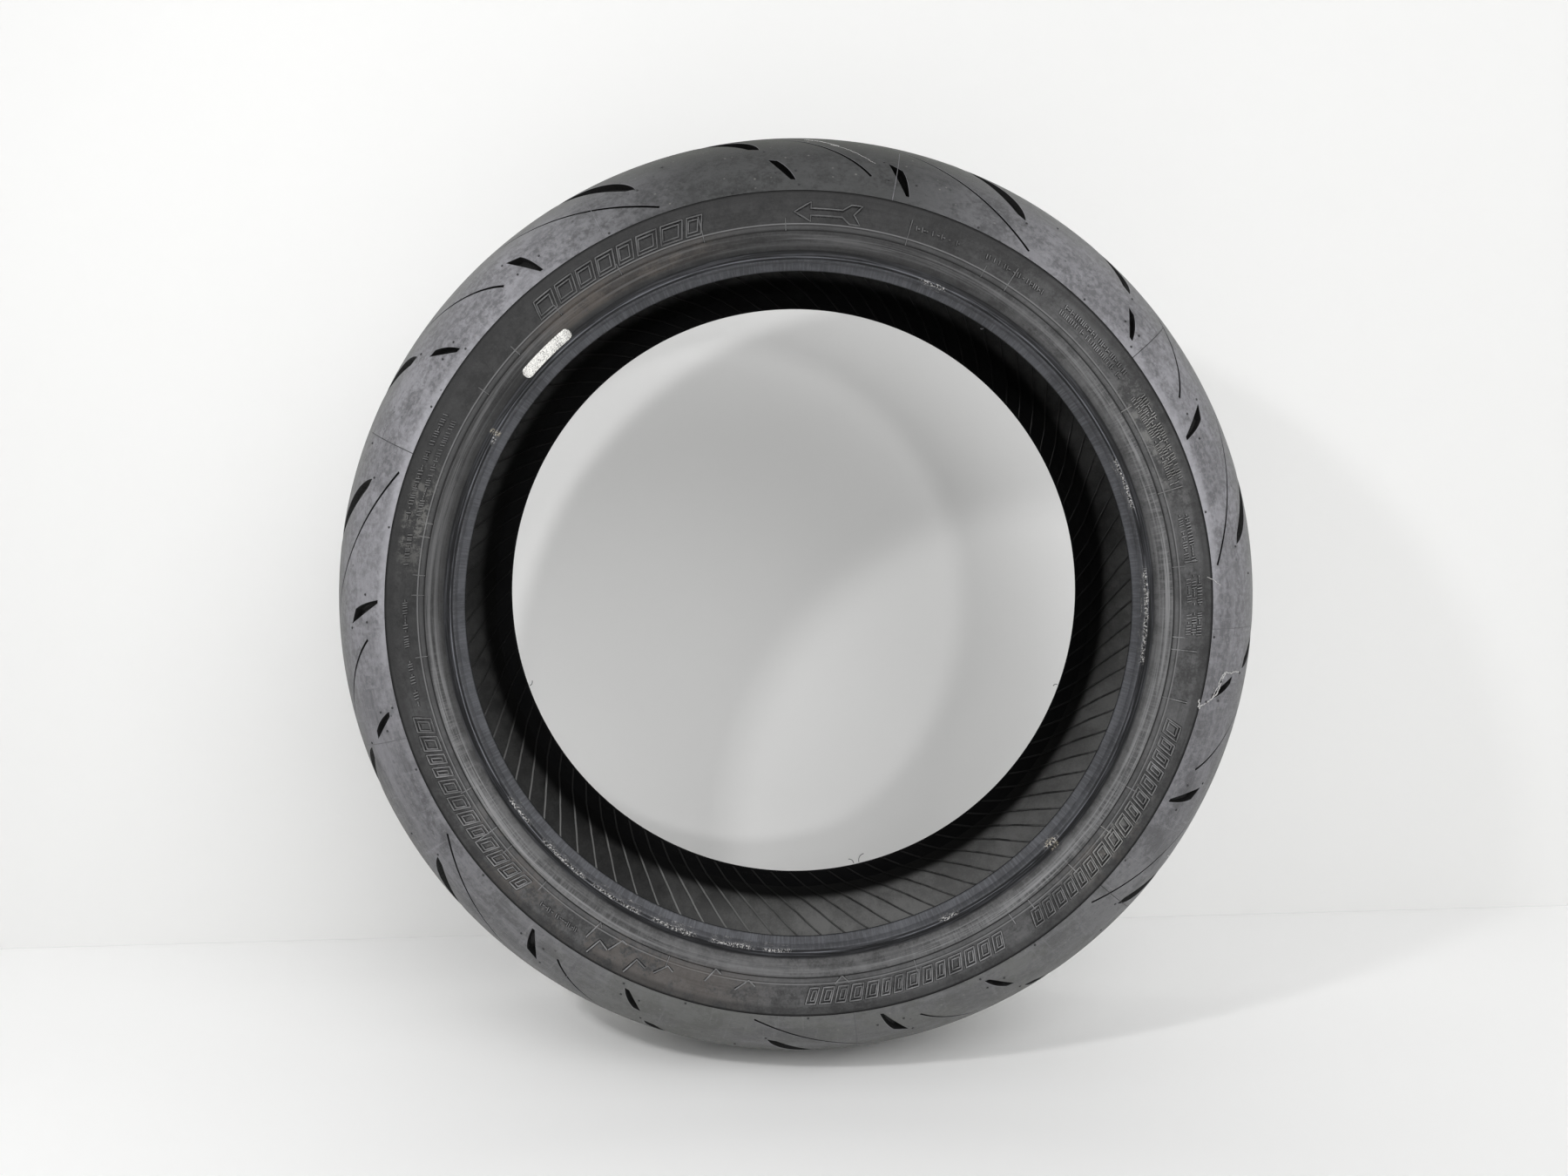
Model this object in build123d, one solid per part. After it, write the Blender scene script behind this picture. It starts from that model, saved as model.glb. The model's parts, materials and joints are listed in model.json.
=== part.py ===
from build123d import *
import os
from math import acos, asin, atan2, cos, degrees, hypot, radians, sin

# Rear radial motorcycle tyre for a 17 inch rim, in mm.
# The origin is the wheel centre, the axle runs along Y, and +Z is up.
# "Left" is the -Y side and "right" the +Y side.
# A section point is (across, out): millimetres along the axle and out from it.

# Outer shape
outer_diameter = 626.0
tread_half_width = 92.4
crown_radius = 105.6
# Tread and belt
tread_thickness = 7.5
belt_thickness = 1.4
belt_edge_inset = 20.4
# Carcass, from the crown to the turn-up
ply_thickness = 1.0
liner_thickness = 1.2
shoulder_inset = 14.8
shoulder_radius = 28.0
seam_drop = 2.0
turnup_lean = 12.0
turnup_height = 20.7
# Bead
bead_seat_diameter = 436.6
bead_seat_width = 8.0
bead_toe_drop = 5.3
bead_toe_across = 68.8
heel_chamfer = 1.5
flange_across = 83.5
core_across = 76.6
core_height = 6.2
core_half = 2.5
bead_wrap_thickness = 0.4
wrap_corners = 4
# Outside of the sidewall, as heights above the bead seat
chafer_height = 9.7
flange_height = 12.2
protector_height = 16.0
protector_across = 88.4
protector_round = 2.6
protector_undercut = 1.0
ring_height = 17.2
ring_width = 2.6
ring_relief = 0.4
# Tread pattern
pitches = 7
pattern_start = 24.0
groove_depth = 5.0
sipe_depth = 3.5
sipe_width = 0.9
cutter_reach = 12.0
cutter_margin = 1.0
# Bead label
label_turn = 134.4
label_height = 7.7
label_length = 39.5
label_width = 6.2
label_thickness = 0.15

LEFT, RIGHT = -1, 1
SIDES = {"left": LEFT, "right": RIGHT}

crown_centre = outer_diameter / 2 - crown_radius
seat_radius = bead_seat_diameter / 2
seat_outer = flange_across - heel_chamfer
toe_radius = seat_radius - bead_toe_drop
turnup_out = seat_radius + turnup_height
tread_edge_angle = degrees(asin(tread_half_width / crown_radius))
ply_crown_radius = crown_radius - tread_thickness - belt_thickness
belt_edge_angle = tread_edge_angle - degrees(belt_edge_inset / crown_radius)
shoulder_start_angle = tread_edge_angle - degrees(shoulder_inset / crown_radius)
tread_seam_angle = shoulder_start_angle + degrees(seam_drop / shoulder_radius)
pitch_angle = 360 / pitches

# A tread cut is a closed outline of (turn, reach) points: hundredths of a pitch
# round the wheel, and hundredths of the way from the crown line to the tread's
# edge. Each side of a groove is an arc through three of them.
EDGE_GROOVE = (
    ((0.0, 94.8), (1.4, 81.9), (2.9, 73.1)),
    ((6.6, 68.1), (4.1, 81.1), (0.8, 94.7)),
)
SHORT_GROOVE = (
    ((29.8, 92.4), (31.7, 82.6), (35.0, 73.7)),
    ((35.6, 74.0), (33.4, 84.8), (30.3, 92.5)),
)
UPPER_GROOVE = (
    ((38.3, 59.6), (45.1, 35.2), (63.4, 6.9)),
    ((64.2, 7.2), (49.4, 40.1), (38.9, 60.0)),
)
LONG_GROOVE = (
    ((70.2, 72.4), (78.4, 45.9), (96.4, 9.8)),
    ((97.2, 10.2), (82.2, 50.8), (71.0, 72.7)),
)
SHORT_SIPE = ((10.5, 84.5), (19.1, 63.9), (32.1, 39.3))
LONG_SIPE = ((65.7, 95.0), (84.4, 70.4), (106.9, 37.7))


def about(centre, radius, angle):
    """Section point at an angle, in degrees from +Y towards outward, about a centre."""
    across = centre[0] + radius * cos(radians(angle))
    out = centre[1] + radius * sin(radians(angle))
    return (across, out)


def crown_point(radius, lean):
    """Section point on a circle about the crown's centre, leaning from the crown line."""
    return about((0, crown_centre), radius, 90 - lean)


def arc_about(centre, radius, start, end):
    """Section arc about a centre between two angles."""
    middle = about(centre, radius, (start + end) / 2)
    return ThreePointArc(about(centre, radius, start), middle, about(centre, radius, end))


shoulder_centre = crown_point(ply_crown_radius - shoulder_radius, shoulder_start_angle)
core_centre = (core_across, seat_radius + core_height)
wrap_distance = core_half + bead_wrap_thickness


def main_line_angle():
    """Direction across the straight ply between the shoulder arc and the bead core."""
    step_across = core_centre[0] - shoulder_centre[0]
    step_out = core_centre[1] - shoulder_centre[1]
    spread = acos((shoulder_radius + wrap_distance) / hypot(step_across, step_out))
    return degrees(atan2(step_out, step_across) + spread)


straight_angle = main_line_angle()
wrap_first = straight_angle + 180
wrap_last = 360 - turnup_lean
wrap_step = (wrap_last - wrap_first) / wrap_corners
roof_angle = (wrap_first + wrap_last) / 2 - 180


def corner(distance, before, after):
    """Corner of two straight faces that lie at one distance from the bead core's centre."""
    reach = distance / cos(radians((after - before) / 2))
    return about(core_centre, reach, (before + after) / 2)


def wrap_corner_points(depth):
    """Corners of the ply's path under the bead core, inboard to outboard."""
    distance = wrap_distance + depth
    firsts = [wrap_first + wrap_step * i for i in range(wrap_corners)]
    return [corner(distance, first, first + wrap_step) for first in firsts]


def turnup_point(depth, out):
    """Point at a distance from the axle on the turned-up ply."""
    foot = about(core_centre, wrap_distance + depth, wrap_last)
    climb = (out - foot[1]) / cos(radians(turnup_lean))
    return about(foot, climb, 90 - turnup_lean)


def ply_tangent(depth):
    """Point where the ply's shoulder arc runs into its straight, a depth inside its outer face."""
    return about(shoulder_centre, shoulder_radius - depth, straight_angle)


def turnup_end_angle():
    """Angle about the shoulder's centre level with the end of the turn-up."""
    return degrees(asin((turnup_out - shoulder_centre[1]) / shoulder_radius))


def turnup_end_on_arc():
    """Whether the turn-up ends level with the ply's shoulder arc, and not with its straight."""
    return turnup_out > ply_tangent(0)[1]


def face_at_turnup_end():
    """Point of the ply's outer face level with the end of the turn-up."""
    if turnup_end_on_arc():
        return about(shoulder_centre, shoulder_radius, turnup_end_angle())
    tangent, foot = ply_tangent(0), straight_foot(0)
    share = (tangent[1] - turnup_out) / (tangent[1] - foot[1])
    return (tangent[0] + share * (foot[0] - tangent[0]), turnup_out)


def ply_face(start, end):
    """Outer face of the ply along its shoulder arc, between two angles."""
    return arc_about(shoulder_centre, shoulder_radius, start, end)


def face_above_turnup():
    """Outer face of the ply from the tread's seam down to the end of the turn-up."""
    seam_angle = 90 - tread_seam_angle
    if turnup_end_on_arc():
        return [ply_face(seam_angle, turnup_end_angle())]
    return [ply_face(seam_angle, straight_angle), Line(ply_tangent(0), face_at_turnup_end())]


def face_beside_filler():
    """Outer face of the ply from the end of the turn-up down to the top of the bead core."""
    foot = corner(wrap_distance, roof_angle, wrap_first)
    if turnup_end_on_arc():
        return [ply_face(turnup_end_angle(), straight_angle), Line(ply_tangent(0), foot)]
    return [Line(face_at_turnup_end(), foot)]


def carcass_half(depth):
    """Crown arc, shoulder arc and the foot of the straight, a depth inside the ply's face."""
    crown = ThreePointArc(
        crown_point(ply_crown_radius - depth, 0),
        crown_point(ply_crown_radius - depth, shoulder_start_angle / 2),
        crown_point(ply_crown_radius - depth, shoulder_start_angle),
    )
    start = 90 - shoulder_start_angle
    shoulder = arc_about(shoulder_centre, shoulder_radius - depth, start, straight_angle)
    return [crown, shoulder]


def straight_foot(depth):
    """Point beside the bead core where the straight ply touches it."""
    return about(core_centre, wrap_distance + depth, wrap_first)


def chain(points):
    """Straight edges through a list of section points."""
    return [Line(a, b) for a, b in zip(points, points[1:])]


def ring(edges):
    """Solid of revolution about the axle from a closed section."""
    return revolve(Plane.YZ * make_face(edges), Axis.Y, 360)


def mirrored_ring(half_edges):
    """Ring whose section is a half outline from the crown line and its mirror image."""
    other = [edge.mirror(Plane.YZ) for edge in half_edges]
    return ring(half_edges + other)


def on_side(shape, side):
    """A right-hand shape, or its mirror image for the left."""
    return shape if side == RIGHT else mirror(shape, Plane.XZ)


def pattern_angles(point):
    """Turn round the wheel and lean from the crown, in degrees, of a pattern point."""
    turn, reach = point
    return (turn * pitch_angle / 100, reach * tread_edge_angle / 100)


def tread_point(turn, lean):
    """Point on the right half of the tread surface."""
    out = crown_centre + crown_radius * cos(radians(lean))
    across = crown_radius * sin(radians(lean))
    return Vector(out * cos(radians(turn)), across, out * sin(radians(turn)))


def tread_plane(turn, lean):
    """Plane that touches the tread surface at a point."""
    level = cos(radians(lean))
    outward = Vector(level * cos(radians(turn)), sin(radians(lean)), level * sin(radians(turn)))
    return Plane(tread_point(turn, lean), z_dir=outward)


def flat(plane, points):
    """Pattern points laid flat on a plane that touches the tread."""
    spots = [plane.to_local_coords(tread_point(*pattern_angles(point))) for point in points]
    return [(spot.X, spot.Y) for spot in spots]


def cut_layer(depth):
    """Band of the tread, from just above its surface down to a cut's floor."""
    top = crown_radius + cutter_margin
    floor = crown_radius - depth
    lean = tread_edge_angle
    edges = [
        arc_about((0, crown_centre), top, 90 - lean, 90),
        Line(crown_point(top, 0), crown_point(floor, 0)),
        arc_about((0, crown_centre), floor, 90, 90 - lean),
        Line(crown_point(floor, lean), crown_point(top, lean)),
    ]
    return ring(edges)


def groove_cutter(outline, layer):
    """One groove: its outline pushed straight in, kept to the cut's layer."""
    near, far = outline
    middle = [(a + b) / 2 for a, b in zip(near[1], far[1])]
    plane = tread_plane(*pattern_angles(middle))
    first, second = flat(plane, near), flat(plane, far)
    edges = [
        ThreePointArc(*first),
        Line(first[-1], second[0]),
        ThreePointArc(*second),
        Line(second[-1], first[0]),
    ]
    prism = extrude(plane * make_face(edges), amount=cutter_reach, both=True)
    return prism & layer


def sipe_cutter(path, layer):
    """One sipe: a slot of even width along an arc, kept to the cut's layer."""
    plane = tread_plane(*pattern_angles(path[1]))
    slot = SlotArc(ThreePointArc(*flat(plane, path)), sipe_width)
    prism = extrude(plane * slot, amount=cutter_reach, both=True)
    return prism & layer


def pattern_cuts():
    """Every groove and sipe of the tread, the right side half a pitch behind the left."""
    deep = cut_layer(groove_depth)
    shallow = cut_layer(sipe_depth)
    outlines = (EDGE_GROOVE, SHORT_GROOVE, UPPER_GROOVE, LONG_GROOVE)
    cutters = [groove_cutter(outline, deep) for outline in outlines]
    cutters += [sipe_cutter(path, shallow) for path in (SHORT_SIPE, LONG_SIPE)]
    cuts = []
    for side, lag in ((LEFT, 0), (RIGHT, pitch_angle / 2)):
        for number in range(pitches):
            turn = pattern_start + pitch_angle * number - lag
            cuts += [Rot(0, -turn, 0) * on_side(cutter, side) for cutter in cutters]
    return cuts


def tread_cap():
    """Grooved tread rubber, from the crown to both shoulder edges, round the belt's edges."""
    inner = crown_radius - tread_thickness
    belt_edge_out = crown_point(inner, belt_edge_angle)
    belt_edge_in = crown_point(ply_crown_radius, belt_edge_angle)
    seam_angle = 90 - tread_seam_angle
    half = [
        arc_about((0, crown_centre), crown_radius, 90, 90 - tread_edge_angle),
        Line(crown_point(crown_radius, tread_edge_angle), seam_point()),
        arc_about(shoulder_centre, shoulder_radius, seam_angle, 90 - shoulder_start_angle),
        arc_about((0, crown_centre), ply_crown_radius, 90 - shoulder_start_angle, 90 - belt_edge_angle),
        Line(belt_edge_in, belt_edge_out),
        arc_about((0, crown_centre), inner, 90 - belt_edge_angle, 90),
    ]
    return mirrored_ring(half) - pattern_cuts()


def seam_point():
    """Where the seam between tread and sidewall meets the ply."""
    return about(shoulder_centre, shoulder_radius, 90 - tread_seam_angle)


def jointless_belt():
    """Cord belt wound round the crown between the ply and the tread."""
    outer = crown_radius - tread_thickness
    inner = ply_crown_radius
    half = [
        arc_about((0, crown_centre), outer, 90, 90 - belt_edge_angle),
        Line(crown_point(outer, belt_edge_angle), crown_point(inner, belt_edge_angle)),
        arc_about((0, crown_centre), inner, 90 - belt_edge_angle, 90),
    ]
    return mirrored_ring(half)


def carcass_ply():
    """Radial ply from bead to bead, turned up round both bead cores."""
    half = []
    for depth in (0, ply_thickness):
        points = [ply_tangent(depth)]
        points += wrap_corner_points(depth)
        points.append(turnup_point(depth, turnup_out))
        half += carcass_half(depth) + chain(points)
    half.append(Line(turnup_point(0, turnup_out), turnup_point(ply_thickness, turnup_out)))
    return mirrored_ring(half)


def inner_liner():
    """Airtight lining of the ply, from one bead to the other."""
    half = []
    depths = (ply_thickness, ply_thickness + liner_thickness)
    for depth in depths:
        half += carcass_half(depth) + [Line(ply_tangent(depth), straight_foot(depth))]
    half.append(Line(straight_foot(depths[0]), straight_foot(depths[1])))
    return mirrored_ring(half)


def bead_bundle(distance):
    """Section outline of the bead core at a distance from its centre."""
    roof = (wrap_last - 360, roof_angle, wrap_first)
    corners = [corner(distance, roof[0], roof[1]), corner(distance, roof[1], roof[2])]
    firsts = [wrap_first + wrap_step * i for i in range(wrap_corners)]
    corners += [corner(distance, first, first + wrap_step) for first in firsts]
    return Plane.YZ * make_face(Polyline(corners, close=True))


def bead_core():
    """Bundle of bead wire that holds the bead on the rim."""
    return revolve(bead_bundle(core_half), Axis.Y, 360)


def bead_wrap():
    """Rubbered fabric round the bead core."""
    return revolve(bead_bundle(wrap_distance) - bead_bundle(core_half), Axis.Y, 360)


def bead_filler():
    """Hard rubber wedge between the ply and its turn-up, on top of the bead core."""
    inboard_foot = corner(wrap_distance, roof_angle, wrap_first)
    outboard_foot = corner(wrap_distance, wrap_last - 360, roof_angle)
    end = turnup_point(0, turnup_out)
    return ring(face_beside_filler() + chain([inboard_foot, outboard_foot, end, face_at_turnup_end()]))


def chafer():
    """Tough rubber round the bead: inner face, toe, tapered sole, seat, heel and flange face."""
    top = seat_radius + chafer_height
    points = [straight_foot(ply_thickness)]
    points += wrap_corner_points(ply_thickness)
    points += [
        turnup_point(ply_thickness, top),
        (flange_across, top),
        (flange_across, seat_radius + heel_chamfer),
        (seat_outer, seat_radius),
        (seat_outer - bead_seat_width, seat_radius),
        (bead_toe_across, toe_radius),
        straight_foot(ply_thickness + liner_thickness),
        straight_foot(ply_thickness),
    ]
    return ring(chain(points))


def side_slope():
    """Widening of the upper sidewall for each millimetre out, from the protector to the tread."""
    climb = crown_point(crown_radius, tread_edge_angle)[1] - seat_radius - protector_height
    return (tread_half_width - protector_across) / climb


def side_point(height, relief):
    """Point on the upper sidewall at a height above the seat, or standing proud of it."""
    across = protector_across + side_slope() * (height - protector_height)
    return (across + relief, seat_radius + height)


def sidewall():
    """Side rubber from the tread's edge to the chafer, with the rim protector and its ring."""
    bottom = seat_radius + chafer_height
    flange_out = seat_radius + flange_height
    points = [
        face_at_turnup_end(),
        turnup_point(ply_thickness, turnup_out),
        turnup_point(ply_thickness, bottom),
        (flange_across, bottom),
        (flange_across, flange_out),
        (protector_across - protector_round, flange_out + protector_undercut),
        side_point(protector_height, 0),
        side_point(ring_height, 0),
        side_point(ring_height, ring_relief),
        side_point(ring_height + ring_width, ring_relief),
        side_point(ring_height + ring_width, 0),
        crown_point(crown_radius, tread_edge_angle),
        seam_point(),
    ]
    return ring(face_above_turnup() + chain(points))


def bead_label():
    """Curved label with round ends, cured flush into the left flange face."""
    radius = seat_radius + label_height
    half_turn = degrees((label_length - label_width) / 2 / radius)
    ends = [about((0, 0), radius, label_turn + half_turn * step) for step in (-1, 0, 1)]
    slot = SlotArc(ThreePointArc(*ends), label_width)
    return Plane.XZ.offset(flange_across - label_thickness) * extrude(slot, amount=label_thickness)


os.makedirs("parts", exist_ok=True)

export_step(tread_cap(), "parts/tread_cap.step")
export_step(jointless_belt(), "parts/jointless_belt.step")
export_step(carcass_ply(), "parts/carcass_ply.step")
export_step(inner_liner(), "parts/inner_liner.step")
label = bead_label()
export_step(label, "parts/bead_label.step")
for side_name, side in SIDES.items():
    export_step(on_side(sidewall(), side) - label, f"parts/sidewall_{side_name}.step")
    export_step(on_side(chafer(), side) - label, f"parts/chafer_{side_name}.step")
    export_step(on_side(bead_core(), side), f"parts/bead_core_{side_name}.step")
    export_step(on_side(bead_wrap(), side), f"parts/bead_wrap_{side_name}.step")
    export_step(on_side(bead_filler(), side), f"parts/bead_filler_{side_name}.step")
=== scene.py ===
"""Rear radial motorcycle tyre standing on a pale floor in front of a pale wall.

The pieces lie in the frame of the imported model: +Z up, the axle along Y, and the
wheel centre at the origin. "Left" is the -Y side, which faces the camera. Turns are
degrees round the axle from +X towards +Z. Sizes in the code are millimetres.
"""
import json
import random
from collections import namedtuple
from math import acos, asin, atan2, cos, degrees, hypot, pi, radians, sin, sqrt

import bpy
from mathutils import Matrix, Vector


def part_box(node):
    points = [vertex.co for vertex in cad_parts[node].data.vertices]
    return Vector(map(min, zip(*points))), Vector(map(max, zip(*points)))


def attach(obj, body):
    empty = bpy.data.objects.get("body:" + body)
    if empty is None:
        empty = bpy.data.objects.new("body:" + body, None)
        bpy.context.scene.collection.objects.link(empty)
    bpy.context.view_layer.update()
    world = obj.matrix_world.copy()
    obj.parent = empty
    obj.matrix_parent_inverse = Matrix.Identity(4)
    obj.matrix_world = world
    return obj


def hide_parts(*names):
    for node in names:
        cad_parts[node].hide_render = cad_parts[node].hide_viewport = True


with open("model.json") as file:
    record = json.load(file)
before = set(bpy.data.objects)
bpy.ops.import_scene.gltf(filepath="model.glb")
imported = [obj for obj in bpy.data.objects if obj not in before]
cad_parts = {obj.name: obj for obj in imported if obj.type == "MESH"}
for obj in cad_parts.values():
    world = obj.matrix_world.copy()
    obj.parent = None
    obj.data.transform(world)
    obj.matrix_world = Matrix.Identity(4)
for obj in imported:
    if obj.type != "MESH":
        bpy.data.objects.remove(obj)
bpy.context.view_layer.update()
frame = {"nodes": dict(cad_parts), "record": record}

bl_info = {
    "name": "Rear Motorcycle Tyre",
    "version": (1, 0, 0),
    "blender": (4, 5, 0),
    "location": "3D View > Sidebar > Tyre",
    "description": "Builds a rear motorcycle tyre, its rubber finishes and a plain studio",
    "category": "Add Mesh",
}

MM = 0.001
SIDES = {"left": -1, "right": 1}


def mount(name):
    """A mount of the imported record, by name."""
    return next(m for m in frame["record"]["mounts"] if m["name"] == name)


OUTER_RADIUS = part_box("tread_cap")[1].z / MM
TREAD_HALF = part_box("tread_cap")[1].y / MM
SEAT_RADIUS = mount("bead_seat_left")["dims"]["r_mm"]
FLANGE_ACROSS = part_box("chafer_right")[1].y / MM
TOE_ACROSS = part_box("chafer_right")[0].y / MM
BEAD_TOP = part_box("chafer_right")[1].z / MM
TURNUP_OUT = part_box("bead_filler_right")[1].z / MM
CORE_ACROSS = (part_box("bead_core_right")[0].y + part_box("bead_core_right")[1].y) / 2 / MM


# ---------------------------------------------------------------- settings

def length(name, description, default):
    """A size in millimetres that the panel shows."""
    return bpy.props.FloatProperty(name=name, description=description, default=default, min=0.0)


def colour(name, description, default):
    """A colour that the panel shows."""
    return bpy.props.FloatVectorProperty(
        name=name, description=description, default=default, size=3, min=0.0, max=1.0, subtype="COLOR"
    )


class TyreSizes(bpy.types.PropertyGroup):
    """Sizes of the tyre's pieces, in millimetres."""

    crown_radius: length("Crown radius", "Radius of the tread's round crown", 105.6)
    tread_thickness: length("Tread thickness", "Rubber over the belt", 7.5)
    ply_depth: length("Ply depth", "From the tread surface to the ply's outer face", 8.9)
    ply_thickness: length("Ply thickness", "Thickness of the carcass ply", 1.0)
    liner_thickness: length("Liner thickness", "Thickness of the inner liner", 1.2)
    shoulder_radius: length("Shoulder radius", "Radius of the ply round the shoulder", 28.0)
    shoulder_inset: length("Shoulder inset", "From the tread's edge to where the ply's shoulder starts", 14.8)
    groove_depth: length("Groove depth", "Depth of the wide tread grooves", 5.0)
    sipe_depth: length("Sipe depth", "Depth of the narrow tread sipes", 3.5)
    sipe_width: length("Sipe width", "Width of the narrow tread sipes", 1.8)
    edge_wear: length("Edge wear", "Worn bevel along each groove", 0.35)
    rib_width: length("Rib width", "Width of a rib of the inner liner", 1.2)
    rib_height: length("Rib height", "Height of a rib of the inner liner", 0.6)
    mark_thickness: length("Mark thickness", "Thickness of the raised marks on the side", 0.5)


class TyreColours(bpy.types.PropertyGroup):
    """Colours of the tyre's finishes."""

    tread: colour("Tread", "Worn tread rubber", (0.165, 0.164, 0.176))
    side: colour("Side", "Side rubber", (0.052, 0.052, 0.053))
    bead: colour("Bead", "Bead rubber", (0.070, 0.072, 0.080))
    liner: colour("Liner", "Matt inner liner", (0.060, 0.060, 0.059))
    dust: colour("Dust", "Pale road dust", (0.300, 0.295, 0.275))
    dirt: colour("Dirt", "Olive grey dirt on the tread", (0.105, 0.108, 0.098))
    # Dark olive dirt with painted shade, laid over the top of the tread
    old_dirt: colour("Old dirt", "Dark olive dirt on the tread", (0.041, 0.042, 0.041))
    stain: colour("Stain", "Brown ageing bloom", (0.082, 0.066, 0.054))
    label: colour("Label", "Worn white label", (0.82, 0.81, 0.78))


class StudioSettings(bpy.types.PropertyGroup):
    """Lights and surroundings."""

    key_power: bpy.props.FloatProperty(name="Key lamp", description="Power of the upper left lamp", default=4.15)
    panel_power: bpy.props.FloatProperty(name="Front panel", description="Power of the wide soft lamp", default=43.0)
    fill_power: bpy.props.FloatProperty(name="Fill lamp", description="Power of the right lamp", default=22.0)
    sky_level: bpy.props.FloatProperty(name="Sky", description="Level of the light from all round", default=0.38)
    wall_distance: bpy.props.FloatProperty(
        name="Wall distance", description="From the wheel centre to the wall", default=0.221, unit="LENGTH"
    )
    wall_turn: bpy.props.FloatProperty(
        name="Wall turn", description="Degrees that the wall is turned from the tyre's plane", default=3.6
    )


# ---------------------------------------------------------------- section of the tyre

def sizes():
    """The sizes that the panel shows."""
    return bpy.context.scene.tyre_sizes


def wheel_spot(turn, across, out):
    """Point in metres at a turn in degrees, across and out in millimetres."""
    return Vector((out * cos(radians(turn)), across, out * sin(radians(turn)))) * MM


def crown_centre():
    """Distance of the crown arc's centre from the axle."""
    return OUTER_RADIUS - sizes().crown_radius


def edge_lean():
    """Lean of the tread's edge, in degrees down from the crown line."""
    return degrees(asin(TREAD_HALF / sizes().crown_radius))


def about(centre, radius, angle):
    """Section point at an angle about a centre, in degrees from across towards outward."""
    return (centre[0] + radius * cos(radians(angle)), centre[1] + radius * sin(radians(angle)))


def arc(centre, radius, start, end, count):
    """Section points along an arc, ends included."""
    return [about(centre, radius, start + (end - start) * i / count) for i in range(count + 1)]


def crown_spot(lean, depth=0.0):
    """Section point at a lean from the crown line, a depth under the tread surface."""
    return about((0, crown_centre()), sizes().crown_radius - depth, 90 - lean)


def shoulder_lean():
    """Lean where the ply leaves the crown arc for the shoulder arc."""
    return edge_lean() - degrees(sizes().shoulder_inset / sizes().crown_radius)


SEAM_PAST = 4


def shoulder_centre():
    """Centre of the ply's shoulder arc."""
    return crown_spot(shoulder_lean(), sizes().ply_depth + sizes().shoulder_radius)


def core_centre():
    """Centre of the bead core's section."""
    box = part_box("bead_core_right")
    inner = min(hypot(v.co.x, v.co.z) for v in frame["nodes"]["bead_core_right"].data.vertices) / MM
    return (CORE_ACROSS, (inner + box[1].z / MM) / 2)


def wrap_reach():
    """Distance from the bead core's centre to the ply's face beside it."""
    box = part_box("bead_wrap_right")
    return (box[1].y - box[0].y) / 2 / MM - 0.3


def straight_angle():
    """Direction across the straight ply between the shoulder and the bead core."""
    shoulder, core = shoulder_centre(), core_centre()
    across, out = core[0] - shoulder[0], core[1] - shoulder[1]
    spread = acos((sizes().shoulder_radius + wrap_reach()) / hypot(across, out))
    return degrees(atan2(out, across) + spread)


def side_across(out):
    """How far from the wheel's middle the upper sidewall lies, at a distance from the axle."""
    edge = crown_spot(edge_lean())
    nose = PROTECTOR_NOSE
    return nose[0] + (edge[0] - nose[0]) * (out - nose[1]) / (edge[1] - nose[1])


PROTECTOR_NOSE = (88.4, SEAT_RADIUS + 16.0)
HEEL_HOLLOW = 82.75
BULGE_START, BULGE_LENGTH = SEAT_RADIUS + 5.6, 10.2


def bulge_across(out):
    """How far from the wheel's middle the bulge over the rim flange lies, at a distance from the axle."""
    share = min(max((out - BULGE_START) / BULGE_LENGTH, 0.0), 1.0)
    return HEEL_HOLLOW + (PROTECTOR_NOSE[0] - HEEL_HOLLOW) * sin(share * pi / 2)


RING_LOW, RING_HIGH = SEAT_RADIUS + 16.9, SEAT_RADIUS + 20.9
TOE_OUT = SEAT_RADIUS - 5.3


def rounded(corners, steps=4):
    """Section points of an outline whose corners (across, out, radius) are rounded."""
    points = []
    for i, (across, out, radius) in enumerate(corners):
        here = Vector((across, out))
        if radius == 0:
            points.append(tuple(here))
            continue
        before = Vector(corners[i - 1][:2]) - here
        after = Vector(corners[(i + 1) % len(corners)][:2]) - here
        half = before.angle(after) / 2
        setback = min(radius / max(sin(half) / cos(half), 0.05), before.length * 0.45, after.length * 0.45)
        first, last = here + before.normalized() * setback, here + after.normalized() * setback
        for step in range(steps + 1):
            t = step / steps
            point = first * (1 - t) ** 2 + here * 2 * t * (1 - t) + last * t ** 2
            points.append(tuple(point))
    return points


# ---------------------------------------------------------------- mesh helpers

def clear_selection():
    """Object mode, with nothing selected."""
    if bpy.context.object and bpy.context.object.mode != "OBJECT":
        bpy.ops.object.mode_set(mode="OBJECT")
    bpy.ops.object.select_all(action="DESELECT")


def select_only(obj):
    """Makes one object the active, selected one."""
    clear_selection()
    obj.select_set(True)
    bpy.context.view_layer.objects.active = obj


def edit_all(obj):
    """Opens an object's mesh for editing with all of it selected."""
    select_only(obj)
    bpy.ops.object.mode_set(mode="EDIT")
    bpy.ops.mesh.select_all(action="SELECT")


def tidy_mesh(obj, smooth_angle=35.0):
    """Merges doubles, turns the faces outwards and shades the piece smooth up to an angle."""
    edit_all(obj)
    bpy.ops.mesh.remove_doubles(threshold=0.002 * MM)
    bpy.ops.mesh.normals_make_consistent(inside=False)
    bpy.ops.object.mode_set(mode="OBJECT")
    bpy.ops.object.shade_smooth_by_angle(angle=radians(smooth_angle))


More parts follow.
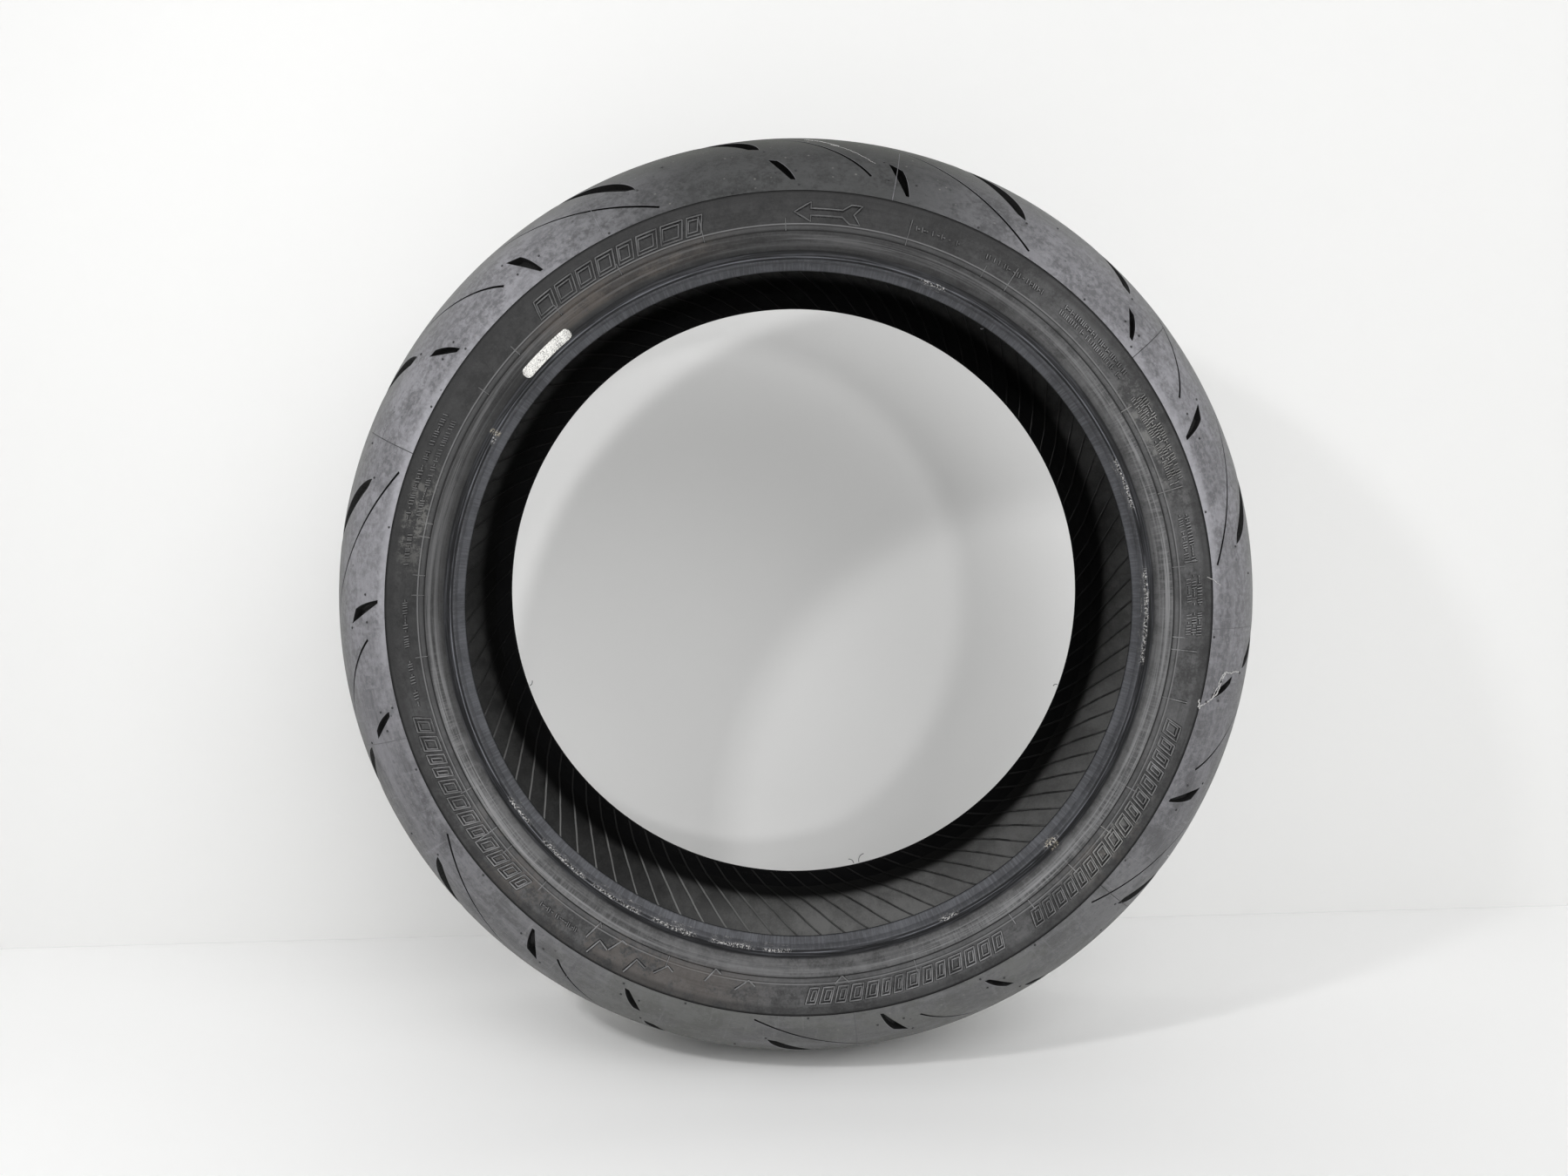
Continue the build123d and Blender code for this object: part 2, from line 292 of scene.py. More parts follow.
def spun_ring(name, outline, steps):
    """Closed ring: a section outline of (across, out) points spun round the axle."""
    clear_selection()
    bpy.ops.mesh.primitive_circle_add(vertices=len(outline), radius=1.0)
    ring = bpy.context.object
    ring.name = ring.data.name = name
    for vertex, (across, out) in zip(ring.data.vertices, outline):
        vertex.co = (0, across * MM, out * MM)
    edit_all(ring)
    bpy.ops.mesh.spin(steps=steps, angle=2 * pi, center=(0, 0, 0), axis=(0, 1, 0), use_auto_merge=True)
    bpy.ops.object.mode_set(mode="OBJECT")
    tidy_mesh(ring)
    return ring


def mirrored(outline, side):
    """A right-hand section outline, or its mirror image for the left."""
    return [(across * side, out) for across, out in outline]


def block(name, stations, levels):
    """Flat-sided block: x from 0 to 1 in stations, y from -1 to 1, and z from 0 in unit levels."""
    clear_selection()
    bpy.ops.mesh.primitive_grid_add(x_subdivisions=stations, y_subdivisions=1, size=2)
    obj = bpy.context.object
    obj.name = obj.data.name = name
    edit_all(obj)
    for _ in range(levels):
        bpy.ops.mesh.extrude_region_move(TRANSFORM_OT_translate={"value": (0, 0, 1)})
    bpy.ops.object.mode_set(mode="OBJECT")
    for vertex in obj.data.vertices:
        vertex.co.x = (vertex.co.x + 1) / 2
    return obj


def reshape(obj, rule):
    """Moves every corner of a mesh to where a rule puts it."""
    for vertex in obj.data.vertices:
        vertex.co = rule(vertex.co)
    return obj


def turned_copy(obj, turn, side=1):
    """Copy with its own mesh, turned round the axle and mirrored for the other side."""
    copy = obj.copy()
    copy.data = obj.data.copy()
    bpy.context.collection.objects.link(copy)
    copy.data.transform(Matrix.Rotation(radians(-turn), 4, "Y") @ Matrix.Diagonal((1, side, 1, 1)))
    if side < 0:
        copy.data.flip_normals()
    return copy


def joined(name, parts):
    """Joins objects into one piece."""
    clear_selection()
    for part in parts:
        part.select_set(True)
    bpy.context.view_layer.objects.active = parts[0]
    if len(parts) > 1:
        bpy.ops.object.join()
    parts[0].name = parts[0].data.name = name
    return parts[0]


def finish_piece(piece, material, slot, *nodes):
    """Gives a piece its material, its body and the nodes that it stands for; the slot is not used."""
    piece.data.materials.clear()
    piece.data.materials.append(material)
    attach(piece, "root")
    if nodes:
        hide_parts(*nodes)
    return piece


# ---------------------------------------------------------------- tread pattern

# Pattern points are (turn, reach): hundredths of a pitch round the wheel, and
# hundredths of the way from the crown line to the tread's edge.
PITCHES = 7
PATTERN_START = 24.0
GROOVES = {
    "edge": (((0.0, 94.8), (1.4, 81.9), (2.9, 73.1)), ((0.8, 94.7), (4.1, 81.1), (6.6, 68.1))),
    "short": (((29.7, 92.4), (31.6, 82.8), (34.2, 74.6)), ((30.9, 92.0), (33.6, 83.6), (36.3, 73.4))),
    "upper": (((38.2, 60.2), (44.6, 35.2), (62.6, 7.4)), ((40.8, 58.4), (49.2, 38.4), (64.6, 7.0))),
    "long": (((69.9, 72.8), (77.4, 45.9), (95.8, 10.2)), ((72.3, 70.8), (81.8, 49.2), (97.6, 10.0))),
}
SIPES = {
    "short": ((10.5, 84.5), (19.1, 63.9), (32.1, 39.3)),
    "long": ((65.7, 95.0), (84.4, 70.4), (106.9, 37.7)),
}
NUBS = (
    (98.9, 83.9), (6.0, 85.1), (7.7, 67.9), (29.6, 84.8), (34.7, 86.0), (28.9, 96.0), (37.1, 63.0),
    (62.0, 57.3), (69.5, 74.8), (80.4, 98.3), (46.5, 98.1),
)


def through(points, t):
    """Pattern point at a share of a smooth path through three points."""
    first, middle, last = (Vector(p) for p in points)
    return first * (1 - t) * (1 - 2 * t) + middle * 4 * t * (1 - t) + last * t * (2 * t - 1)


def tread_spot(turn, lean, height=0.0):
    """Point over the right half of the tread: turn and lean in degrees, height in millimetres."""
    return wheel_spot(turn, *crown_spot(lean, -height))


def pattern_spot(point, height=0.0):
    """Point over the right half of the tread at a pattern point."""
    return tread_spot(point[0] * 3.6 / PITCHES, point[1] * edge_lean() / 100, height)


def outward_at(point):
    """Direction straight out of the tread at a pattern point."""
    return (pattern_spot(point, 1.0) - pattern_spot(point)).normalized()


def groove_cutter(name, near, far):
    """Cutter for one groove, with worn edges and a rounded floor."""
    depth, wear = sizes().groove_depth, sizes().edge_wear
    levels = ((-depth, 0.55, 0.0), (1.0 - depth, 0.9, 0.0), (-wear, 1.0, 0.0), (0.0, 1.0, wear), (1.2, 1.0, 2.2 * wear))

    def rule(corner):
        height, share, flare = levels[round(corner.z)]
        left, right = through(near, corner.x), through(far, corner.x)
        middle = (left + right) / 2
        edges = pattern_spot(left), pattern_spot(right)
        reach = (edges[1] - edges[0]) / 2
        spread = reach * share + reach.normalized() * flare * MM
        return pattern_spot(middle) + spread * corner.y + outward_at(middle) * height * MM

    return reshape(block(name, 14, len(levels) - 1), rule)


def sipe_cutter(name, path):
    """Cutter for one narrow sipe, with lightly worn edges."""
    depth, half = sizes().sipe_depth, sizes().sipe_width / 2
    wear = sizes().edge_wear / 3
    levels = ((-depth, half * 0.8), (-wear, half), (0.0, half + wear), (0.8, half + 2 * wear))

    def rule(corner):
        height, width = levels[round(corner.z)]
        here = through(path, corner.x)
        ahead = pattern_spot(through(path, corner.x + 0.01)) - pattern_spot(through(path, corner.x - 0.01))
        outward = outward_at(here)
        beside = outward.cross(ahead).normalized()
        return pattern_spot(here) + (beside * corner.y * width + outward * height) * MM

    return reshape(block(name, 24, len(levels) - 1), rule)


def pattern_copies(parts):
    """Copies of right-hand pattern parts on every pitch of both sides, the right half a pitch behind."""
    pitch = 360 / PITCHES
    copies = []
    for side in SIDES.values():
        lag = pitch / 2 if side > 0 else 0
        for number in range(PITCHES):
            turn = PATTERN_START + pitch * number - lag
            copies += [turned_copy(part, turn, side) for part in parts]
    for part in parts:
        bpy.data.objects.remove(part)
    return copies


def cut_away(piece, cutter):
    """Cuts a joined cutter out of a piece."""
    tidy_mesh(cutter)
    select_only(piece)
    cut = piece.modifiers.new("cut", "BOOLEAN")
    cut.operation = "DIFFERENCE"
    cut.solver = "EXACT"
    cut.object = cutter
    bpy.ops.object.modifier_apply(modifier=cut.name)
    bpy.data.objects.remove(cutter)


def tread_outline():
    """Section of the tread rubber, from edge to edge and back along the belt."""
    edge, shoulder = edge_lean(), shoulder_lean()
    seam = about(shoulder_centre(), sizes().shoulder_radius, 90 - shoulder - SEAM_PAST)
    inner = arc((0, crown_centre()), sizes().crown_radius - sizes().tread_thickness, 40, 140, 20)
    steps = 68
    outer = [crown_spot(edge - 2 * edge * i / steps) for i in range(steps + 1)]
    return outer[::-1] + [seam] + inner + [(-seam[0], seam[1])]


class TYRE_OT_tread(bpy.types.Operator):
    """Builds the grooved tread rubber"""

    bl_idname = "tyre.tread"
    bl_label = "Tread"

    def execute(self, context):
        tread = spun_ring("tread", tread_outline(), 360)
        cutters = [groove_cutter(name, *sides) for name, sides in GROOVES.items()]
        cutters += [sipe_cutter(name, path) for name, path in SIPES.items()]
        cut_away(tread, joined("tread_cutters", pattern_copies(cutters)))
        select_only(tread)
        bpy.ops.object.shade_smooth_by_angle(angle=radians(32))
        finish_piece(tread, tread_material(), "tread_rubber", "tread_cap")
        return {"FINISHED"}


class TYRE_OT_nubs(bpy.types.Operator):
    """Builds the trimmed vent stubs of the mould on the tread"""

    bl_idname = "tyre.nubs"
    bl_label = "Vent stubs"

    def execute(self, context):
        stubs = []
        for place in NUBS:
            clear_selection()
            bpy.ops.mesh.primitive_cylinder_add(vertices=10, radius=0.75 * MM, depth=1.4 * MM)
            stub = context.object
            turn_out = Vector((0, 0, 1)).rotation_difference(outward_at(place)).to_matrix().to_4x4()
            stub.data.transform(Matrix.Translation(pattern_spot(place, -0.3)) @ turn_out)
            stubs.append(stub)
        nubs = joined("vent_stubs", pattern_copies(stubs))
        tidy_mesh(nubs)
        finish_piece(nubs, stub_material(), "tread_rubber")
        return {"FINISHED"}


# ---------------------------------------------------------------- sides and beads

def sidewall_outline():
    """Section of one sidewall: crease under the tread, two ring lines, rim protector, bulge and the ply's face."""
    edge, shoulder, bend = crown_spot(edge_lean()), shoulder_centre(), sizes().shoulder_radius
    end_angle = degrees(asin((TURNUP_OUT - shoulder[1]) / bend))
    face = arc(shoulder, bend, end_angle, 90 - shoulder_lean() - SEAM_PAST, 14)
    seam = Vector(face[-1]) - Vector(edge)
    crease = Vector(edge) + seam.normalized() * 0.55
    cut, ridge = 0.45, 0.3
    corners = [(*face[-1], 0), (*crease, 0.4), (side_across(248) - 0.35, 248, 6.0)]
    lines = (
        (RING_HIGH + 0.6, 0, 0, 0.1), (RING_HIGH, 0.1, ridge, 0.2), (RING_HIGH, -0.4, ridge, 0.2),
        (RING_HIGH - 0.8, 0, 0, 0.1), (RING_LOW + 1.0, 0, 0, 0.1), (RING_LOW, 0.35, -cut, 0.15),
        (RING_LOW, -0.15, -cut, 0.15), (RING_LOW - 0.4, 0, 0, 0.1),
    )
    corners += [(side_across(out) + rise, out + shift, radius) for out, shift, rise, radius in lines]
    corners += [(bulge_across(out), out, 0) for out in (PROTECTOR_NOSE[1] - 6.3 * i / 9 for i in range(9))]
    corners += [
        (bulge_across(BEAD_TOP), BEAD_TOP, 0),
        (FLANGE_ACROSS - 2.17, BEAD_TOP, 0),
        (FLANGE_ACROSS + 0.17, TURNUP_OUT, 0),
    ]
    return rounded(corners) + face[:-1]


def chafer_outline():
    """Section of the rubber round one bead: hollowed heel band, fine heel lines, seat, sloping sole, toe and inside."""
    core, reach = core_centre(), wrap_reach()
    first = straight_angle() + 180
    inner_foot = about(core, reach + sizes().ply_thickness + sizes().liner_thickness, first)
    corners = [(bulge_across(out), out, 0) for out in (BEAD_TOP - (BEAD_TOP - BULGE_START) * i / 5 for i in range(6))]
    corners += [(FLANGE_ACROSS - 0.70, SEAT_RADIUS + 3.6, 0.8)]
    for out, inset in ((2.9, 0.55), (2.0, 0.75)):
        for sink, rise in ((0, 0.3), (0.22, 0.1), (0.22, -0.1), (0.05, -0.3)):
            corners.append((FLANGE_ACROSS - inset - sink, SEAT_RADIUS + out + rise, 0.1))
    corners += [
        (FLANGE_ACROSS - 0.9, SEAT_RADIUS + 1.2, 0.5),
        (FLANGE_ACROSS - 2.1, SEAT_RADIUS, 0.9),
        (FLANGE_ACROSS - 9.4, SEAT_RADIUS, 0.6),
        (TOE_ACROSS, TOE_OUT, 0.8),
        (*inner_foot, 0),
    ]
    wrap = arc(core, reach + sizes().ply_thickness + 0.25, first, 348, 12)
    return rounded(corners, 5) + wrap


def liner_path(depth):
    """Section points along the inside of the carcass, from the left bead to the right, at a depth in it."""
    shoulder, angle = shoulder_centre(), straight_angle()
    radius = sizes().shoulder_radius - depth
    foot = about(core_centre(), wrap_reach() + depth, angle + 180)
    tangent = about(shoulder, radius, angle)
    straight = [tuple(Vector(foot).lerp(Vector(tangent), i / 6)) for i in range(6)]
    half = straight + arc(shoulder, radius, angle, 90 - shoulder_lean(), 14)
    crown = [crown_spot(shoulder_lean() * (1 - i / 24), sizes().ply_depth + depth) for i in range(1, 25)]
    right = half + crown
    return [(-across, out) for across, out in right] + right[-2::-1]


class TYRE_OT_sides(bpy.types.Operator):
    """Builds both sidewalls"""

    bl_idname = "tyre.sides"
    bl_label = "Sidewalls"

    def execute(self, context):
        for name, side in SIDES.items():
            wall = spun_ring(f"side_rubber_{name}", mirrored(sidewall_outline(), side), 300)
            finish_piece(wall, side_material(), "side_rubber", f"sidewall_{name}")
        return {"FINISHED"}


class TYRE_OT_beads(bpy.types.Operator):
    """Builds the rubber round both beads"""

    bl_idname = "tyre.beads"
    bl_label = "Beads"

    def execute(self, context):
        for name, side in SIDES.items():
            bead = spun_ring(f"bead_rubber_{name}", mirrored(chafer_outline(), side), 300)
            finish_piece(bead, bead_material(), "bead_rubber", f"chafer_{name}")
        return {"FINISHED"}


RIBS = 92
RIB_STATIONS = 44
RIB_SLANT = 1.0


def path_lengths(path):
    """Length along a path of points, up to each of them."""
    total, lengths = 0.0, [0.0]
    for a, b in zip(path, path[1:]):
        total += hypot(b[0] - a[0], b[1] - a[1])
        lengths.append(total)
    return lengths


def along(path, lengths, distance):
    """Point and direction at a distance along a path."""
    for i in range(1, len(lengths)):
        if distance <= lengths[i] or i == len(lengths) - 1:
            share = (distance - lengths[i - 1]) / (lengths[i] - lengths[i - 1])
            a, b = Vector(path[i - 1]), Vector(path[i])
            return a.lerp(b, share), (b - a).normalized()


def liner_rib():
    """One slanted rib of the liner, from bead to bead."""
    path = liner_path(sizes().ply_thickness + sizes().liner_thickness)
    near_toe = Vector(path[-1]).lerp(Vector((TOE_ACROSS, TOE_OUT)), 0.85)
    path = [(-near_toe[0], near_toe[1])] + path + [tuple(near_toe)]
    lengths = path_lengths(path)
    margin, steps = 0.5, 400
    reach = lengths[-1] - 2 * margin
    half, height = sizes().rib_width / 2, sizes().rib_height
    levels = ((-0.25, 1.25), (height * 0.6, 1.0), (height, 0.5))
    turns = [0.0]
    for i in range(steps):
        here, _ = along(path, lengths, margin + reach * (i + 0.5) / steps)
        turns.append(turns[-1] - degrees(reach / steps * RIB_SLANT / here[1]))

    def rule(corner):
        here, ahead = along(path, lengths, margin + reach * corner.x)
        turn = turns[round(corner.x * steps)]
        rise, width = levels[round(corner.z)]
        inward = Vector((ahead[1], -ahead[0]))
        spot = here + inward * rise
        turn += degrees(corner.y * half * width * sqrt(1 + RIB_SLANT ** 2) / here[1])
        return wheel_spot(turn, *spot)

    return reshape(block("rib", RIB_STATIONS, len(levels) - 1), rule)


class TYRE_OT_liner(bpy.types.Operator):
    """Builds the inner liner with its slanted ribs"""

    bl_idname = "tyre.liner"
    bl_label = "Inner liner"

    def execute(self, context):
        outer = liner_path(sizes().ply_thickness + 0.05)
        inner = liner_path(sizes().ply_thickness + sizes().liner_thickness)
        liner = spun_ring("inner_lining", outer + inner[::-1], 240)
        rib = liner_rib()
        ribs = [turned_copy(rib, 360 * i / RIBS) for i in range(RIBS)]
        bpy.data.objects.remove(rib)
        ribs = joined("lining_ribs", ribs)
        tidy_mesh(ribs)
        finish_piece(liner, liner_material(), "liner_rubber", "inner_liner")
        finish_piece(ribs, rib_material(), "liner_rubber")
        return {"FINISHED"}


# Height over the bulge of the label's underside, its rim and its face
LABEL_LEVELS = (-0.3, 0.14, 0.20)


class TYRE_OT_label(bpy.types.Operator):
    """Builds the worn blank label on the left bead"""

    bl_idname = "tyre.label"
    bl_label = "Label"

    def execute(self, context):
        low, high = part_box("bead_label")
        middle = (low + high) / 2 / MM
        turn, out = degrees(atan2(middle.z, middle.x)), hypot(middle.x, middle.z)
        half_length, half_width = 19.75, 3.1

        def rule(corner):
            along_it = half_length * sin((corner.x - 0.5) * pi)
            past = max(abs(along_it) - (half_length - half_width), 0)
            wide = sqrt(max(half_width ** 2 - past ** 2, 0.01))
            inset = 0.12 if round(corner.z) == 2 else 0.0
            away = out + corner.y * max(wide - inset, 0.05)
            across = -bulge_across(away) - LABEL_LEVELS[round(corner.z)]
            return wheel_spot(turn + degrees(along_it / out), across, away)

        label = reshape(block("label", 36, 2), rule)
        tidy_mesh(label)
        finish_piece(label, label_material(), "label_paper", "bead_label")
        return {"FINISHED"}


# ---------------------------------------------------------------- raised marks

def side_spot(turn, out, height=0.0):
    """Point over the right side, from the flange face to the tread's edge."""
    across = bulge_across(out) if out < PROTECTOR_NOSE[1] else side_across(out)
    return wheel_spot(turn, across + height, out)


def moulded_lines(name, strokes, thickness, spot):
    """Raised round lines: each stroke is (points, closed), laid on a surface by a function."""
    curve = bpy.data.curves.new(name, "CURVE")
    curve.dimensions = "3D"
    curve.bevel_depth = thickness * MM
    curve.bevel_resolution = 1
    curve.use_fill_caps = True
    for points, closed in strokes:
        spline = curve.splines.new("POLY")
        spline.points.add(len(points) - 1)
        for target, point in zip(spline.points, points):
            target.co = (*spot(*point), 1.0)
        spline.use_cyclic_u = closed
    lines = bpy.data.objects.new(name, curve)
    bpy.context.collection.objects.link(lines)
    select_only(lines)
    bpy.ops.object.convert(target="MESH")
    lines = bpy.context.object
    tidy_mesh(lines, 50)
    return lines


def on_side(lines, side):
    """Right-hand lines, or their mirror image on the left."""
    name = lines.name
    copy = turned_copy(lines, 0, side)
    bpy.data.objects.remove(lines)
    copy.name = copy.data.name = name
    return copy


def spread_out(turn, out, corners, closed=True, step=2.5):
    """Stroke on the side from flat corners (along, away) in millimetres, with points close together."""
    ends = corners[1:] + corners[:1] if closed else corners[1:]
    points = []
    for a, b in zip(corners, ends):
        count = max(1, round(hypot(b[0] - a[0], b[1] - a[1]) / step))
        for i in range(count):
            share = i / count
            points.append((a[0] + (b[0] - a[0]) * share, a[1] + (b[1] - a[1]) * share))
    if not closed:
        points.append(corners[-1])
    return [(turn + degrees(x / out), out + y) for x, y in points], closed


def slanted_plate(turn, out, long, tall, slant):
    """Outline of a bare slanted plate."""
    x, y = long / 2, tall / 2
    return spread_out(turn, out, [(x, -y), (-x, -y), (-x - slant, y), (x - slant, y)])


def plate_band(first, last, out, tall, seed, longest):
    """Row of bare slanted plates between two turns, each with a smaller outline within."""
    chance = random.Random(seed)
    turn, strokes = first, []
    while turn < last:
        long = chance.uniform(longest * 0.6, longest)
        middle = turn + degrees(long / 2 / out)
        strokes.append(slanted_plate(middle, out, long, tall, 3.4))
        strokes.append(slanted_plate(middle, out, long - 3.6, tall - 3.8, 2.2))
        turn += degrees((long + 2.8) / out)
    return strokes


def dash_rows(first, last, outs, seed):
    """Rows of small raised dashes between two turns."""
    chance = random.Random(seed)
    strokes = []
    for out in outs:
        turn = first + chance.uniform(0, 0.3)
        while turn < last:
            long = chance.uniform(0.8, 1.7)
            if chance.random() < 0.88:
                corners = [(0.0, -1.4), (0.5, 1.4)] if chance.random() < 0.75 else [(0.0, 0.0), (long, 0.0)]
                strokes.append(spread_out(turn, out, corners, closed=False))
            turn += degrees((long + 0.5) / out)
    return strokes


def rolling_arrow(turn, out):
    """Outline of the arrow that shows which way the tyre rolls."""
    corners = [
        (20.5, 0.0), (10.5, 5.6), (10.5, 2.0), (-9.0, 2.0), (-14.0, 5.6), (-20.5, 5.6), (-16.0, 0.0),
        (-20.5, -5.6), (-14.0, -5.6), (-9.0, -2.0), (10.5, -2.0), (10.5, -5.6),
    ]
    return spread_out(turn, out, corners)


# Bare decoration of one side: (first turn, last turn, distance from the axle, height, seed, longest plate)
PLATE_BANDS = (
    (104.8, 129.0, 246.0, 10.6, 1, 14.5), (196.0, 224.0, 246.2, 9.8, 2, 9.6), (271.5, 302.0, 246.2, 9.8, 3, 8.6),
    (307.5, 344.0, 246.4, 9.8, 4, 9.4),
)
DASH_BANDS = (
    (150.5, 166.5, (244.4, 250.6), 11), (168.5, 173.0, (247.0,), 12), (178.0, 185.0, (246.4,), 13),
    (187.0, 193.5, (246.0,), 14), (228.0, 235.0, (247.2,), 15), (356.5, 359.8, (244.2, 247.4, 250.6), 16),
    (0.8, 5.2, (244.2, 247.4, 250.6), 17), (7.2, 14.2, (244.4, 248.4), 18), (18.8, 33.0, (245.0, 248.0, 251.0), 19),
    (36.0, 49.5, (245.4, 249.6), 20), (53.0, 62.5, (247.4,), 21), (66.5, 73.5, (246.6,), 22),
)
TICKS = (
    6.8, 18.3, 32.0, 57.8, 61.9, 74.2, 92.3, 104.6, 117.9, 128.7, 137.4, 145.0, 166.5, 168.6, 174.4, 177.4, 186.7,
    208.1, 215.3, 219.0, 226.7, 249.2, 288.0, 304.5, 308.2, 316.6, 324.4, 331.7, 346.7, 354.2, 356.1,
)
LONG_TICKS = (7.4, 18.3, 57.8, 74.2, 104.6, 215.3, 346.7, 354.2)
TICK_OUTS, LONG_TICK_OUTS = (235.2, 237.0, 240.0, 242.5), (242.5, 246.0, 250.5)
# Added to a seed, so that the right side has its own decoration
RIGHT_SEEDS = 30
# Zig-zags: turn and distance from the axle of each peak, and its two ends beyond it
HOOKS = (
    (237.3, 235.3, (-2.9, 12.0), (2.2, 2.5)), (241.6, 238.3, (-5.1, 9.0), (3.7, 1.0)),
    (238.6, 244.9, (-3.5, 10.0), (7.0, 3.0)), (244.8, 245.0, (-4.5, 10.0), (6.8, 2.8)),
    (249.5, 241.5, (-7.0, 7.0), (4.0, 2.5)), (256.7, 235.0, (-5.2, 8.8), (4.0, 2.5)),
    (262.0, 238.3, (-7.8, 7.0), (4.5, 3.4)), (276.5, 235.2, (-5.0, 4.4), (4.0, 4.4)),
)


def sunk(spot, depth):
    """A surface function, lowered by a depth."""
    return lambda turn, out: spot(turn, out, -depth)


class TYRE_OT_marks(bpy.types.Operator):
    """Builds the bare moulded decoration of both sides and the rolling arrows"""

    bl_idname = "tyre.marks"
    bl_label = "Moulded marks"

    def execute(self, context):
        thick = sizes().mark_thickness
        for name, side in SIDES.items():
            other = RIGHT_SEEDS if side > 0 else 0
            strokes = [rolling_arrow(86.2, 246.0)]
            for first, last, out, tall, seed, longest in PLATE_BANDS:
                strokes += plate_band(first, last, out, tall, seed + other, longest)
            for turn, out, left, right in HOOKS:
                strokes.append(spread_out(turn, out, [left, (0.0, 0.0), right], closed=False))
            fine = [([(turn, out) for out in TICK_OUTS], False) for turn in TICKS]
            fine += [([(turn, out) for out in LONG_TICK_OUTS], False) for turn in LONG_TICKS]
            for first, last, outs, seed in DASH_BANDS:
                fine += dash_rows(first, last, outs, seed + other)
            # Each set of lines also gets a wider, lower copy in dark rubber as its painted shadow
            for kind, lines, thickness, depth, material in (
                ("decoration", strokes, thick, 0.0, raised_material()),
                ("decoration_border", strokes, 1.36, 1.05, line_shadow_material()),
                ("dashes", fine, thick * 0.8, 0.0, raised_material()),
                ("dashes_border", fine, 1.0, 0.78, line_shadow_material()),
            ):
                marks = moulded_lines(f"side_{kind}_{name}", lines, thickness, sunk(side_spot, depth))
                finish_piece(on_side(marks, side), material, "side_rubber")
        return {"FINISHED"}


FIRST_PARTING = 117.6
PARTING_STEP = 40
PARTING_LEAN = 30


class TYRE_OT_parting_lines(bpy.types.Operator):
    """Builds the fine lines where the mould's segments met"""

    bl_idname = "tyre.parting_lines"
    bl_label = "Parting lines"

    def execute(self, context):
        lines = []
        for side in SIDES.values():
            strokes = []
            for number in range(360 // PARTING_STEP):
                turn = FIRST_PARTING + PARTING_STEP * number + (PARTING_STEP / 2 if side > 0 else 0)
                leans = (PARTING_LEAN + (edge_lean() - PARTING_LEAN) * i / 16 for i in range(17))
                strokes.append(([(turn, lean) for lean in leans], False))
            lines.append(on_side(moulded_lines("parting_line", strokes, 0.24, tread_spot), side))
        finish_piece(joined("parting_lines", lines), flash_material(), "tread_rubber")
        return {"FINISHED"}


# Scuffs of the left side of the tread: points of (turn, lean), and half the width
SCUFFS = (
    (((346.5, 61.5), (347.2, 58.6), (348.0, 55.9), (348.6, 53.8), (349.5, 52.9), (350.6, 51.9), (351.8, 50.5),
      (351.6, 46.5), (351.9, 43.0), (351.8, 40.0)), 0.42),
    (((348.2, 55.6), (349.8, 53.6), (350.9, 53.0), (351.7, 51.2)), 0.3),
    (((346.2, 61.0), (347.6, 61.6)), 0.4),
    (((80.6, 43.4), (82.6, 38.5), (84.5, 34.0), (86.2, 31.4)), 0.13),
    (((85.2, 32.4), (87.4, 27.5), (89.4, 24.6)), 0.22),
    (((5.0, 62.5), (4.3, 60.0), (3.6, 57.2)), 0.2),
    (((326.0, 33.0), (326.0, 27.0)), 0.3),
)


def scuff_spot(turn, lean, height=0.0):
    """Point on the left side of the tread, or on the sidewall just under its edge."""
    if lean <= edge_lean():
        spot = tread_spot(turn, lean, height)
    else:
        spot = side_spot(turn, crown_spot(edge_lean())[1] - (lean - edge_lean()) * 2.4)
    return Vector((spot.x, -spot.y, spot.z))


class TYRE_OT_scuffs(bpy.types.Operator):
    """Builds the pale ragged scuffs on the tread"""

    bl_idname = "tyre.scuffs"
    bl_label = "Scuffs"

    def execute(self, context):
        chance = random.Random(5)
        parts = []
        for points, half in SCUFFS:
            ragged = []
            for (turn, lean), (next_turn, next_lean) in zip(points, points[1:]):
                count = max(2, round(hypot((next_turn - turn) * 4.6, (next_lean - lean) * 1.8) / 1.4))
                for i in range(count):
                    share = i / count
                    ragged.append((
                        turn + (next_turn - turn) * share + chance.uniform(-0.07, 0.07),
                        lean + (next_lean - lean) * share + chance.uniform(-0.2, 0.2),
                    ))
            ragged.append(points[-1])
            parts.append(moulded_lines("scuff", [(ragged, False)], half, scuff_spot))
        finish_piece(joined("tread_scuffs", parts), scuff_material(), "tread_rubber")
        return {"FINISHED"}


def whisker(turn, side, reach, curl):
    """Short thread of flash rubber at a bead's toe."""
    points = []
    for share in (i / 6 for i in range(7)):
        out = TOE_OUT + 0.4 - reach * sin(share * pi / 2)
        points.append((turn + curl * share ** 2, side * (TOE_ACROSS + 0.6 + share * 1.5), out))
    return points, False


WHISKERS = {
    1: ((283.5, 5.2, 1.4), (282.4, 3.6, -0.9), (199.0, 2.6, -0.8), (341.0, 2.2, -0.6)),
    -1: ((306.0, 1.4, -0.4), (57.0, 1.3, 0.4)),
}


class TYRE_OT_whiskers(bpy.types.Operator):
    """Builds the threads of flash rubber at the bead toes"""

    bl_idname = "tyre.whiskers"
    bl_label = "Flash threads"

    def execute(self, context):
        strokes = [whisker(turn, side, reach, curl) for side, group in WHISKERS.items() for turn, reach, curl in group]
        threads = moulded_lines("flash_threads", strokes, 0.3, wheel_spot)
        finish_piece(threads, flash_material(), "bead_rubber")
        return {"FINISHED"}


# ---------------------------------------------------------------- node helpers

